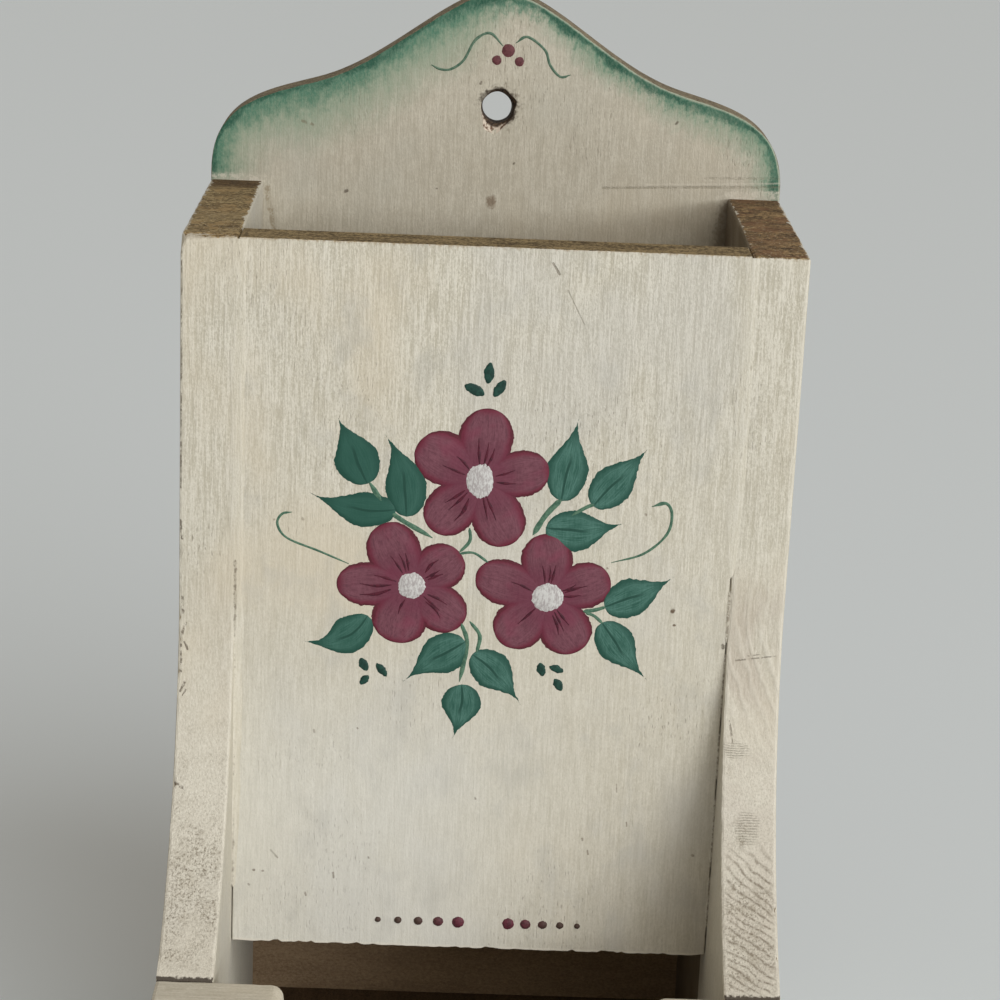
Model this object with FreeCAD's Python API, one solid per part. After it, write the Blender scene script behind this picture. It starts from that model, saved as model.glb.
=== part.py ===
import FreeCAD, Part
import math
import os

# Wall-hung wooden matchbox holder. A tall bay holds one box of kitchen matches upright,
# and the matches are picked out of an open tray below it.
# Frame: X to the right seen from the front, +Y to the wall, +Z up,
# origin on the ground at the middle of the footprint. Lengths are in millimetres.

# Overall sizes
overall_width = 98.0
side_height = 161.0
crest_rise = 33.6
bay_depth = 40.5
front_height = 120.5
flare_drop = 57.0
flare_reach = 31.0
lip_height = 49.0

# Board thicknesses
side_thickness = 9.0
back_thickness = 6.5
front_thickness = 7.0
floor_thickness = 7.0
lip_thickness = 7.0

# Room left for glue at each end of the boards let in between the sides
glue_gap = 0.15

# Hanging hole in the crest, its height measured from the tops of the sides
hanging_hole_diameter = 5.5
hanging_hole_rise = 14.5

# Finger scoop in the lip: a half circle with eased corners
scoop_width = 58.0
scoop_corner_radius = 2.0

# Crest curves from the shoulder to the middle, as shares of half the width and of the crest rise
shoulder_shares = ((1.0, 0.04), (1.0, 0.385), (0.835, 0.435), (0.64, 0.516))
peak_shares = ((0.64, 0.516), (0.386, 0.62), (0.176, 1.0), (0.0, 1.0))

# Headless wire brads with blunted points, sunk flush
brad_diameter = 1.4
brad_length = 21.0

# Where the brads stand, as shares of the height, width or depth of the joint they hold
back_height_shares = (0.12, 0.5, 0.9)
panel_height_shares = (0.15, 0.85)
lip_height_shares = (0.35, 0.8)
floor_width_share = 0.5
floor_depth_share = 0.4

# Places that follow from the sizes
half_width = overall_width / 2
inner_half_width = half_width - side_thickness
overall_depth = back_thickness + bay_depth + front_thickness + flare_reach + lip_thickness
wall_y = overall_depth / 2
back_y = wall_y - back_thickness
panel_back_y = back_y - bay_depth
panel_front_y = panel_back_y - front_thickness
lip_back_y = panel_front_y - flare_reach
lip_front_y = lip_back_y - lip_thickness
panel_bottom_z = side_height - front_height
flare_top_z = side_height - flare_drop
hanging_hole_z = side_height + hanging_hole_rise
side_middle_x = half_width - side_thickness / 2
floor_middle_z = floor_thickness / 2

X_AXIS = FreeCAD.Vector(1, 0, 0)
Y_AXIS = FreeCAD.Vector(0, 1, 0)


def point(x, y, z):
    return FreeCAD.Vector(x, y, z)


def block(x0, x1, y0, y1, z0, z1):
    """Box between two corners."""
    return Part.makeBox(x1 - x0, y1 - y0, z1 - z0, point(x0, y0, z0))


def line(start, end):
    return Part.makeLine(start, end)


def arc(start, middle, end):
    return Part.Arc(start, middle, end).toShape()


def board(edges, sweep):
    """Solid board: the face inside the edges, pushed along the sweep."""
    return Part.Face(Part.Wire(Part.__sortEdges__(edges))).extrude(sweep)


def crest_curve(shares, side):
    """One curve of the crest outline on the right (side 1) or left (side -1)."""
    curve = Part.BezierCurve()
    curve.setPoles([point(side * x * half_width, back_y, side_height + z * crest_rise) for x, z in shares])
    return curve.toShape()


def make_back_board():
    """Full-height back with the crest and the hanging hole."""
    shoulder_z = side_height + shoulder_shares[0][1] * crest_rise
    edges = [line(point(-half_width, back_y, 0), point(half_width, back_y, 0))]
    for side in (-1, 1):
        edges.append(line(point(side * half_width, back_y, 0), point(side * half_width, back_y, shoulder_z)))
        edges.append(crest_curve(shoulder_shares, side))
        edges.append(crest_curve(peak_shares, side))
    hole = Part.makeCylinder(hanging_hole_diameter / 2, back_thickness, point(0, back_y, hanging_hole_z), Y_AXIS)
    return board(edges, Y_AXIS * back_thickness).cut(hole)


def make_side(side):
    """Side board: straight above, then a concave flare out to the tray lip."""
    x = inner_half_width if side > 0 else -half_width
    drop = flare_top_z - lip_height
    radius = (drop ** 2 + flare_reach ** 2) / (2 * flare_reach)
    half_turn = math.asin(drop / radius) / 2
    flare_middle = point(x, panel_front_y - radius * (1 - math.cos(half_turn)),
                         flare_top_z - radius * math.sin(half_turn))
    flare_top = point(x, panel_front_y, flare_top_z)
    flare_foot = point(x, lip_back_y, lip_height)
    corners = [flare_foot, point(x, lip_back_y, 0), point(x, back_y, 0),
               point(x, back_y, side_height), point(x, panel_front_y, side_height), flare_top]
    edges = [line(a, b) for a, b in zip(corners, corners[1:])]
    edges.append(arc(flare_top, flare_middle, flare_foot))
    return board(edges, X_AXIS * side_thickness)


def make_front_panel():
    """Front of the bay, let in between the sides and flush with their straight front edges."""
    reach = inner_half_width - glue_gap
    return block(-reach, reach, panel_front_y, panel_back_y, panel_bottom_z, side_height)


def make_tray_floor():
    """Floor between the sides, from the lip to the back board."""
    reach = inner_half_width - glue_gap
    return block(-reach, reach, lip_back_y, back_y, 0, floor_thickness)


def make_tray_lip():
    """Front board of the tray, full width, with the finger scoop."""
    lip = block(-half_width, half_width, lip_front_y, lip_back_y, 0, lip_height)
    radius = scoop_width / 2
    ease = scoop_corner_radius
    # The eased corner touches the top edge and the half circle of the scoop
    rise = math.sqrt((radius + ease) ** 2 - ease ** 2)
    touch_share = radius / (radius + ease)
    top_z = lip_height
    left_top = point(-rise, lip_front_y, top_z)
    right_top = point(rise, lip_front_y, top_z)
    left_touch = point(-rise * touch_share, lip_front_y, top_z - ease * touch_share)
    right_touch = point(rise * touch_share, lip_front_y, top_z - ease * touch_share)
    half_turn = math.atan2(rise, ease) / 2
    left_middle = point(-rise + ease * math.sin(half_turn), lip_front_y, top_z - ease * (1 - math.cos(half_turn)))
    right_middle = point(rise - ease * math.sin(half_turn), lip_front_y, top_z - ease * (1 - math.cos(half_turn)))
    bottom = point(0, lip_front_y, top_z - radius)
    edges = [line(left_top, right_top), arc(left_top, left_middle, left_touch),
             arc(left_touch, bottom, right_touch), arc(right_touch, right_middle, right_top)]
    return lip.cut(board(edges, Y_AXIS * lip_thickness))


def make_brad(head, direction):
    """One brad, driven along the direction from the middle of its outer end."""
    return Part.makeCylinder(brad_diameter / 2, brad_length, head, direction)


def make_back_brads():
    """Through the back board into the sides and the floor."""
    heads = [point(side * side_middle_x, wall_y, share * side_height)
             for side in (-1, 1) for share in back_height_shares]
    heads += [point(side * floor_width_share * inner_half_width, wall_y, floor_middle_z) for side in (-1, 1)]
    return [make_brad(head, -Y_AXIS) for head in heads]


def make_panel_brads():
    """Through the sides into the edges of the front panel."""
    y = (panel_front_y + panel_back_y) / 2
    return [make_brad(point(side * half_width, y, panel_bottom_z + share * front_height), X_AXIS * -side)
            for side in (-1, 1) for share in panel_height_shares]


def make_floor_brads():
    """Through the sides into the ends of the floor."""
    y = lip_back_y + floor_depth_share * (back_y - lip_back_y)
    return [make_brad(point(side * half_width, y, floor_middle_z), X_AXIS * -side) for side in (-1, 1)]


def make_lip_brads():
    """Through the lip into the front edges of the sides."""
    return [make_brad(point(side * side_middle_x, lip_front_y, share * lip_height), Y_AXIS)
            for side in (-1, 1) for share in lip_height_shares]


def drilled(wood, brads):
    """The board with a hole for each brad that crosses it."""
    crossing = [brad for brad in brads if wood.BoundBox.intersect(brad.BoundBox)]
    return wood.cut(crossing) if crossing else wood


def main():
    boards = {
        "back_board": make_back_board(),
        "left_side": make_side(-1),
        "right_side": make_side(1),
        "front_panel": make_front_panel(),
        "tray_floor": make_tray_floor(),
        "tray_lip": make_tray_lip(),
    }
    brads = {
        "back_brads": make_back_brads(),
        "panel_brads": make_panel_brads(),
        "floor_brads": make_floor_brads(),
        "lip_brads": make_lip_brads(),
    }
    all_brads = [brad for group in brads.values() for brad in group]
    os.makedirs("parts", exist_ok=True)
    for name, wood in boards.items():
        drilled(wood, all_brads).exportStep("parts/" + name + ".step")
    for name, group in brads.items():
        Part.makeCompound(group).exportStep("parts/" + name + ".step")


main()
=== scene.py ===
"""Looks of a wall-hung wooden matchbox holder: brushed cream paint, worn edges and a painted spray."""
import logging
import math
from dataclasses import dataclass
from enum import Enum
from typing import Any, Callable, Dict, List, Optional, Sequence, Tuple

import bpy
from mathutils import Matrix, Vector, noise


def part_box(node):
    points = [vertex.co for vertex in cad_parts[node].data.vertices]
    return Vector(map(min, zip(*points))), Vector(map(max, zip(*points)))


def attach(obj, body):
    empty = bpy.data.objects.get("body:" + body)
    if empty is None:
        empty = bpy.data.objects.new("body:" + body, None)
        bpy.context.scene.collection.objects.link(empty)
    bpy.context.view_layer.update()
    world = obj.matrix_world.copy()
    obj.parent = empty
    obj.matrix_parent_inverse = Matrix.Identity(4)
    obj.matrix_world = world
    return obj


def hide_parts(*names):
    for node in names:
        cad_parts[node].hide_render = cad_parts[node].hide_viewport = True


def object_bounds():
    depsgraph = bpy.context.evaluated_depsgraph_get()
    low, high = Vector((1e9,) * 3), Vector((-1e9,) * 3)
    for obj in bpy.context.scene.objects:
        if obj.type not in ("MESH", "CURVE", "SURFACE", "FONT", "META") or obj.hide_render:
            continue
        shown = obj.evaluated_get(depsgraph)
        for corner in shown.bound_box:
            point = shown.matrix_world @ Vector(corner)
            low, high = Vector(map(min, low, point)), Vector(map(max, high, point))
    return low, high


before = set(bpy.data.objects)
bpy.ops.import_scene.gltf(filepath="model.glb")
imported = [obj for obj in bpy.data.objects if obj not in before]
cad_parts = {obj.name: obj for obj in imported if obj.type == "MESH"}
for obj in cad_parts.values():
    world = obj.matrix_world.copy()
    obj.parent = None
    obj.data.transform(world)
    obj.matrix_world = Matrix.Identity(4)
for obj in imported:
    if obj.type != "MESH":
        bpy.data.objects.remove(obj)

LOG = logging.getLogger("matchbox_holder")
MM = 0.001
CAD_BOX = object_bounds()
CREAM_SLOT = "cream_paint"
WOOD_SLOT = "bare_wood"
STEEL_SLOT = "steel_wire"
WEAR_SEED = 1
SHARP = math.radians(35)
Point2 = Tuple[float, float]
Point3 = Tuple[float, float, float]
Colour = Tuple[float, float, float, float]
Piece = bpy.types.Object
Finish = bpy.types.Material


class Hand(Enum):
    """Which side of the holder a board stands on, seen from the front."""

    LEFT = -1
    RIGHT = 1


class Grain(Enum):
    """Which way the grain and the brush run on a board, as the turn that brings it upright."""

    UPRIGHT = (0.0, 0.0, 0.0)
    ACROSS = (0.0, math.pi / 2, 0.0)
    DEEP = (math.pi / 2, 0.0, 0.0)


def paint(red: float, green: float, blue: float) -> Colour:
    """Colour chip read on the usual 0 to 255 scale, as scene-linear values.

    Args:
        red: red of the chip.
        green: green of the chip.
        blue: blue of the chip.

    Returns:
        Linear colour with full alpha.
    """

    def linear(part: float) -> float:
        """One channel of the chip."""
        share = part / 255
        return share / 12.92 if share <= 0.04045 else ((share + 0.055) / 1.055) ** 2.4

    return (linear(red), linear(green), linear(blue), 1.0)


@dataclass(frozen=True)
class HolderSizes:
    """Sizes of the holder in metres: the boards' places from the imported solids, and their curves."""

    half_width: float
    inner_half_width: float
    wall_y: float
    back_y: float
    panel_back_y: float
    panel_front_y: float
    lip_back_y: float
    lip_front_y: float
    side_top: float
    crest_top: float
    panel_bottom: float
    panel_reach: float
    lip_top: float
    floor_top: float
    flare_drop: float = 57 * MM
    hole_rise: float = 14.5 * MM
    hole_radius: float = 2.75 * MM
    scoop_radius: float = 29 * MM
    scoop_ease: float = 2 * MM
    shoulder_shares: Tuple[Point2, ...] = ((1.0, 0.04), (1.0, 0.385), (0.835, 0.435), (0.64, 0.516))
    peak_shares: Tuple[Point2, ...] = ((0.64, 0.516), (0.386, 0.62), (0.176, 1.0), (0.0, 1.0))

    @classmethod
    def from_frame(cls) -> "HolderSizes":
        """Reads the boards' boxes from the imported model.

        Returns:
            The sizes.
        """
        back_low, back_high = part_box("back_board")
        side_low, side_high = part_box("right_side")
        panel_low, panel_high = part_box("front_panel")
        lip_low, lip_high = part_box("tray_lip")
        floor_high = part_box("tray_floor")[1]
        return cls(half_width=back_high.x, inner_half_width=side_low.x, wall_y=back_high.y,
                   back_y=back_low.y, panel_back_y=panel_high.y, panel_front_y=panel_low.y,
                   lip_back_y=lip_high.y, lip_front_y=lip_low.y, side_top=side_high.z,
                   crest_top=back_high.z, panel_bottom=panel_low.z, panel_reach=panel_high.x,
                   lip_top=lip_high.z, floor_top=floor_high.z)

    @property
    def flare_top(self) -> float:
        """Height where the front edge of a side starts to flare."""
        return self.side_top - self.flare_drop

    @property
    def flare_radius(self) -> float:
        """Radius of the flare, which leaves the straight edge without a kink.

        Returns:
            The radius.
        """
        drop = self.flare_top - self.lip_top
        reach = self.panel_front_y - self.lip_back_y
        return (drop ** 2 + reach ** 2) / (2 * reach)

    @property
    def side_middle(self) -> float:
        """Distance of the middle of a side's thickness from the middle of the holder."""
        return (self.half_width + self.inner_half_width) / 2

    def flare_y(self, z: float) -> float:
        """Front edge of a side at a height.

        Args:
            z: height above the ground.

        Returns:
            The y of the front edge there.
        """
        if z >= self.flare_top:
            return self.panel_front_y
        drop = self.flare_top - max(z, self.lip_top)
        return self.panel_front_y - self.flare_radius + math.sqrt(self.flare_radius ** 2 - drop ** 2)

    def crest_points(self, count: int) -> List[Point2]:
        """Right half of the crest outline, from the shoulder to the middle.

        Args:
            count: points on each of its two curves.

        Returns:
            Points (x, z), the last one at the middle.
        """
        points = []
        for shares in (self.shoulder_shares, self.peak_shares):
            points += curve_points(shares, count)
        rise = self.crest_top - self.side_top
        return [(x * self.half_width, self.side_top + z * rise) for x, z in points + [self.peak_shares[-1]]]


def curve_points(poles: Sequence[Point2], count: int) -> List[Point2]:
    """Points along a cubic curve, without its last point.

    Args:
        poles: the four poles of the curve.
        count: number of points.

    Returns:
        The points, evenly spaced in the curve's own measure.
    """
    points = []
    for step in range(count):
        t = step / count
        weights = ((1 - t) ** 3, 3 * (1 - t) ** 2 * t, 3 * (1 - t) * t ** 2, t ** 3)
        points.append(tuple(sum(w * p[axis] for w, p in zip(weights, poles)) for axis in (0, 1)))
    return points


def run(start: Point2, end: Point2, step: float) -> List[Point2]:
    """Points along a straight stretch, without its last point.

    Args:
        start: first corner.
        end: last corner.
        step: longest distance between points.

    Returns:
        The points, evenly spaced.
    """
    count = max(1, math.ceil(math.dist(start, end) / step))
    return [(start[0] + (end[0] - start[0]) * i / count, start[1] + (end[1] - start[1]) * i / count)
            for i in range(count)]


def smooth_path(points: Sequence[Point2], count: int) -> List[Tuple[Vector, Vector]]:
    """Smooth line through given points.

    Args:
        points: points (x, z) that the brush passes.
        count: number of stations along the line.

    Returns:
        Place and direction at each station.
    """
    ends = [Vector(p) for p in points]
    ends = [ends[0] * 2 - ends[1]] + ends + [ends[-1] * 2 - ends[-2]]
    stations = []
    for i in range(count):
        reach = i / (count - 1) * (len(ends) - 3)
        span = min(int(reach), len(ends) - 4)
        t = reach - span
        a, b, c, d = ends[span:span + 4]
        bend = a * 2 - b * 5 + c * 4 - d
        twist = b * 3 - a - c * 3 + d
        place = (b * 2 + (c - a) * t + bend * t ** 2 + twist * t ** 3) / 2
        lead = (c - a) + bend * (2 * t) + twist * (3 * t ** 2)
        stations.append((place, lead.normalized()))
    return stations


def held(value: float) -> float:
    """The value held between 0 and 1."""
    return max(0.0, min(1.0, value))


def active(thing: Piece) -> None:
    """Leaves one object selected and active.

    Args:
        thing: the object.
    """
    bpy.ops.object.select_all(action="DESELECT")
    thing.select_set(True)
    bpy.context.view_layer.objects.active = thing


def rework(step: Callable[..., Any], **settings: Any) -> None:
    """Runs one mesh operator on the whole of the active piece.

    Args:
        step: the operator.
        settings: its settings.
    """
    bpy.ops.object.mode_set(mode="EDIT")
    bpy.ops.mesh.select_all(action="SELECT")
    step(**settings)
    bpy.ops.object.mode_set(mode="OBJECT")


def cut_board(name: str, outline: Sequence[Vector], sweep: Vector, ease: float) -> Piece:
    """Saws a board along an outline and eases its sharp edges.

    Args:
        name: the piece's name.
        outline: corners of the sawn face, in order.
        sweep: thickness of the board, as a push from that face.
        ease: width of the eased edges.

    Returns:
        The board.
    """
    bpy.ops.object.select_all(action="DESELECT")
    bpy.ops.mesh.primitive_circle_add(vertices=len(outline), radius=sweep.length, fill_type="NGON")
    board = bpy.context.object
    board.name = name
    board.data.name = name
    for vertex, place in zip(board.data.vertices, outline):
        vertex.co = place
    bpy.ops.object.mode_set(mode="EDIT")
    bpy.ops.mesh.select_mode(type="EDGE")
    bpy.ops.mesh.select_all(action="SELECT")
    bpy.ops.mesh.extrude_region_move(TRANSFORM_OT_translate={"value": sweep})
    bpy.ops.mesh.select_all(action="SELECT")
    bpy.ops.mesh.normals_make_consistent(inside=False)
    bpy.ops.mesh.select_all(action="DESELECT")
    bpy.ops.mesh.edges_select_sharp(sharpness=SHARP)
    bpy.ops.mesh.bevel(offset=ease, segments=2, profile=0.5, clamp_overlap=True)
    bpy.ops.object.mode_set(mode="OBJECT")
    return board


def wear_edges(board: Piece, sweep: Vector, depth: float, bare: Callable[[Vector, Vector], bool],
               chips: Sequence[Tuple[Vector, float]] = ()) -> None:
    """Makes the eased edges uneven, as sanded by hand, and marks where bare wood shows.

    The mark is a point attribute: 0 on paint, 1 on bare wood, and between them across the eased edges.

    Args:
        board: the board.
        sweep: direction of its thickness.
        depth: how far the edges wander.
        bare: tells from a face's normal and middle whether it is bare.
        chips: middles and radii of places where an edge is chipped.
    """
    along = sweep.normalized()
    square = 0.03
    mesh = board.data
    marks: Dict[int, List[float]] = {}
    flat = set()
    rim = set()
    for face in mesh.polygons:
        lean = abs(face.normal.dot(along))
        if square < lean < 1 - square:
            continue
        for index in face.vertices:
            marks.setdefault(index, []).append(1.0 if bare(face.normal, face.center) else 0.0)
            (rim if lean <= square else flat).add(index)
    beside: Dict[int, List[float]] = {}
    for edge in mesh.edges:
        for here, there in (edge.vertices, reversed(edge.vertices)):
            if here not in marks and there in marks:
                beside.setdefault(here, []).append(max(marks[there]))
    wear = mesh.attributes.new("wear", "FLOAT", "POINT")
    for vertex in mesh.vertices:
        index = vertex.index
        shift = noise.noise_vector(vertex.co * 420) + noise.noise_vector(vertex.co * 1300) * 0.6
        lengthwise = along * shift.dot(along)
        if index in flat:
            shift -= lengthwise
        if index in rim:
            shift = Vector((0, 0, 0)) if index in flat else lengthwise
        found = marks.get(index) or beside.get(index) or [0.0]
        worn = sum(found) / len(found)
        if index not in marks:
            worn = 0.2 + 0.4 * worn
            for middle, radius in chips:
                worn += max(0.0, 1 - (vertex.co - middle).length / radius) * 0.7
        wear.data[index].value = worn
        vertex.co += shift * depth
        for middle, radius in chips:
            hit = max(0.0, 1 - (vertex.co - middle).length / radius)
            if hit and index not in flat:
                vertex.co += along * (radius * 0.3 * hit * (1 if middle.dot(along) < 0 else -1))
        vertex.co = [min(max(part, low), high) for part, low, high in zip(vertex.co, *CAD_BOX)]


def carve(board: Piece, cutter: Piece) -> None:
    """Cuts one shape out of a board and throws the cutter away.

    Args:
        board: the board.
        cutter: closed shape to take away.
    """
    active(board)
    cut = board.modifiers.new("cut", "BOOLEAN")
    cut.operation = "DIFFERENCE"
    cut.solver = "EXACT"
    cut.object = cutter
    bpy.ops.object.modifier_apply(modifier=cut.name)
    bpy.data.objects.remove(cutter)


def dress(piece: Piece, finishes: Sequence[Finish],
          choose: Optional[Callable[[Vector, Vector], int]] = None) -> None:
    """Gives a piece its finishes.

    Args:
        piece: the piece.
        finishes: materials for its slots.
        choose: tells from a face's normal and middle which slot it takes.
    """
    piece.data.materials.clear()
    for finish in finishes:
        piece.data.materials.append(finish)
    if choose:
        for face in piece.data.polygons:
            face.material_index = choose(face.normal, face.center)


def settle(piece: Piece, slot: str, *nodes: str) -> Piece:
    """Hands a finished piece over: it rides on the one body and stands for its nodes.

    Args:
        piece: the piece, in place.
        slot: name of a material slot; not used.
        nodes: nodes that it replaces.

    Returns:
        The piece.
    """
    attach(piece, "root")
    if nodes:
        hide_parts(*nodes)
    LOG.info("%s: %d faces", piece.name, len(piece.data.polygons))
    return piece


class Wire:
    """One value on its way between nodes, which can be reckoned with."""

    def __init__(self, desk: "NodeDesk", socket: bpy.types.NodeSocket) -> None:
        """Takes hold of an output."""
        self.desk = desk
        self.socket = socket

    def __add__(self, other: Any) -> "Wire":
        """Sum with a wire or a number."""
        return self.desk.calc("ADD", self, other)

    def __sub__(self, other: Any) -> "Wire":
        """This wire less another, or less a number."""
        return self.desk.calc("SUBTRACT", self, other)

    def __rsub__(self, other: float) -> "Wire":
        """A number less this wire."""
        return self.desk.calc("SUBTRACT", other, self)

    def __mul__(self, other: Any) -> "Wire":
        """Product with a wire or a number."""
        return self.desk.calc("MULTIPLY", self, other)

    def __truediv__(self, other: Any) -> "Wire":
        """This wire divided by another, or by a number."""
        return self.desk.calc("DIVIDE", self, other)

    def __abs__(self) -> "Wire":
        """This wire without its sign."""
        return self.desk.calc("ABSOLUTE", self)


WirePair = Tuple[Wire, Wire]


class NodeDesk:
    """Adds and joins shader nodes in one node tree."""

    def __init__(self, tree: bpy.types.NodeTree) -> None:
        """Opens a tree."""
        self.tree = tree
        self.place: Optional[Wire] = None

    @property
    def spot(self) -> Dict[str, Wire]:
        """X, Y and Z of the place."""
        return self.axes(self.place)

    def feed(self, socket: bpy.types.NodeSocket, value: Any) -> None:
        """Links a socket, or sets its value.

        Args:
            socket: the input.
            value: a wire, or the value to set.
        """
        if isinstance(value, Wire):
            self.tree.links.new(value.socket, socket)
        else:
            socket.default_value = value

    def add(self, kind: str, inputs: Optional[Dict[Any, Any]] = None, **settings: Any) -> bpy.types.Node:
        """Adds a node.

        Args:
            kind: its type, without the leading ShaderNode.
            inputs: values or wires by input name or number.
            settings: its other properties.

        Returns:
            The node.
        """
        node = self.tree.nodes.new("ShaderNode" + kind)
        for key, value in settings.items():
            setattr(node, key, value)
        for key, value in (inputs or {}).items():
            self.feed(node.inputs[key], value)
        return node

    def out(self, kind: str, key: Any, inputs: Optional[Dict[Any, Any]] = None, **settings: Any) -> Wire:
        """Adds a node for the sake of one output."""
        return Wire(self, self.add(kind, inputs, **settings).outputs[key])

    def outs(self, node: bpy.types.Node) -> Dict[str, Wire]:
        """Outputs of a node by name."""
        return {socket.name: Wire(self, socket) for socket in node.outputs}

    def calc(self, operation: str, first: Any, second: Any = 0.0, clamp: bool = False) -> Wire:
        """One step of arithmetic on values."""
        return self.out("Math", 0, {0: first, 1: second}, operation=operation, use_clamp=clamp)

    def vector(self, operation: str, first: Wire, second: Any = (0.0, 0.0, 0.0)) -> Wire:
        """One step of arithmetic on vectors."""
        key = "Value" if operation in ("DOT_PRODUCT", "LENGTH") else "Vector"
        return self.out("VectorMath", key, {0: first, 1: second}, operation=operation)

    def axes(self, place: Wire) -> Dict[str, Wire]:
        """X, Y and Z of a vector."""
        return self.outs(self.add("SeparateXYZ", {0: place}))

    def turned(self, rotation: Point3) -> Wire:
        """The place turned about the origin."""
        return self.out("Mapping", 0, {"Vector": self.place, "Rotation": rotation})

    def ease(self, value: Wire, low: float, high: float, start: float = 0.0, end: float = 1.0) -> Wire:
        """Smooth step of a value from start to end between two limits."""
        return self.out("MapRange", 0, {"Value": value, "From Min": low, "From Max": high, "To Min": start,
                                        "To Max": end}, interpolation_type="SMOOTHSTEP")

    def noise(self, scale: Point3, detail: float = 3.0, rough: float = 0.55, turn: Point3 = (0.0, 0.0, 0.0),
              shift: float = 0.0, place: Optional[Wire] = None) -> Wire:
        """Noise with its own scale along each axis."""
        moved = self.out("Mapping", 0, {"Vector": place or self.place, "Scale": scale, "Rotation": turn,
                                        "Location": (shift,) * 3})
        return self.out("TexNoise", "Fac", {"Vector": moved, "Scale": 1.0, "Detail": detail,
                                            "Roughness": rough})

    def blend(self, share: Any, first: Any, second: Any) -> Wire:
        """Mixes two colours."""
        return self.out("Mix", 2, {0: share, 6: first, 7: second}, data_type="RGBA", blend_type="MIX")

    def group(self, name: str, inputs: Optional[Dict[str, Any]] = None) -> Dict[str, Wire]:
        """Places a shared group, at the desk's own place unless the inputs name another."""
        given = {"Place": self.place, **(inputs or {})}
        return self.outs(self.add("Group", given, node_tree=bpy.data.node_groups[name]))


class FinishDesk(NodeDesk):
    """Desk of one material, with its shader and the object coordinates."""

    def __init__(self, name: str) -> None:
        """Starts a material.

        Args:
            name: its name.
        """
        self.material = bpy.data.materials.new(name)
        self.material.use_nodes = True
        super().__init__(self.material.node_tree)
        self.place = self.out("TexCoord", "Object")

    def shade(self, **looks: Any) -> Finish:
        """Hands looks to the shader.

        Args:
            looks: values or wires by the shader's inputs, with _ for each space.

        Returns:
            The material.
        """
        shader = self.tree.nodes["Principled BSDF"]
        for key, value in looks.items():
            self.feed(shader.inputs[key.replace("_", " ")], value)
        return self.material

    def film(self, colour: Wire, height: Wire, depth: float) -> Finish:
        """Hands over the looks of a film of artist's paint.

        Args:
            colour: its colour.
            height: its height.
            depth: reach of the height in metres.

        Returns:
            The material.
        """
        return self.shade(Base_Color=colour, Roughness=0.6, Specular_IOR_Level=0.3,
                          Normal=self.relief(height, 0.5, depth))

    def relief(self, height: Wire, strength: float, depth: float) -> Wire:
        """Normals of a surface.

        Args:
            height: its height.
            strength: share of the height that counts.
            depth: reach of the height in metres.

        Returns:
            The normals.
        """
        return self.out("Bump", 0, {"Strength": strength, "Distance": depth, "Height": height})


def new_group(name: str, outputs: Sequence[str], **inputs: str) -> Tuple[NodeDesk, Dict[str, Wire], Any]:
    """Starts a shared shader group.

    Args:
        name: the group's name.
        outputs: names of the values that it puts out.
        inputs: socket kinds by input name, such as Vector or Float, besides its place.

    Returns:
        Its desk, what it is given, and the inputs of its output node.
    """
    tree = bpy.data.node_groups.new(name, "ShaderNodeTree")
    for key, kind in {"Place": "Vector", **inputs}.items():
        tree.interface.new_socket(key, in_out="INPUT", socket_type="NodeSocket" + kind)
    for key in outputs:
        tree.interface.new_socket(key, in_out="OUTPUT", socket_type="NodeSocketFloat")
    desk = NodeDesk(tree)
    given = desk.outs(tree.nodes.new("NodeGroupInput"))
    desk.place = given["Place"]
    return desk, given, tree.nodes.new("NodeGroupOutput").inputs


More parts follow.
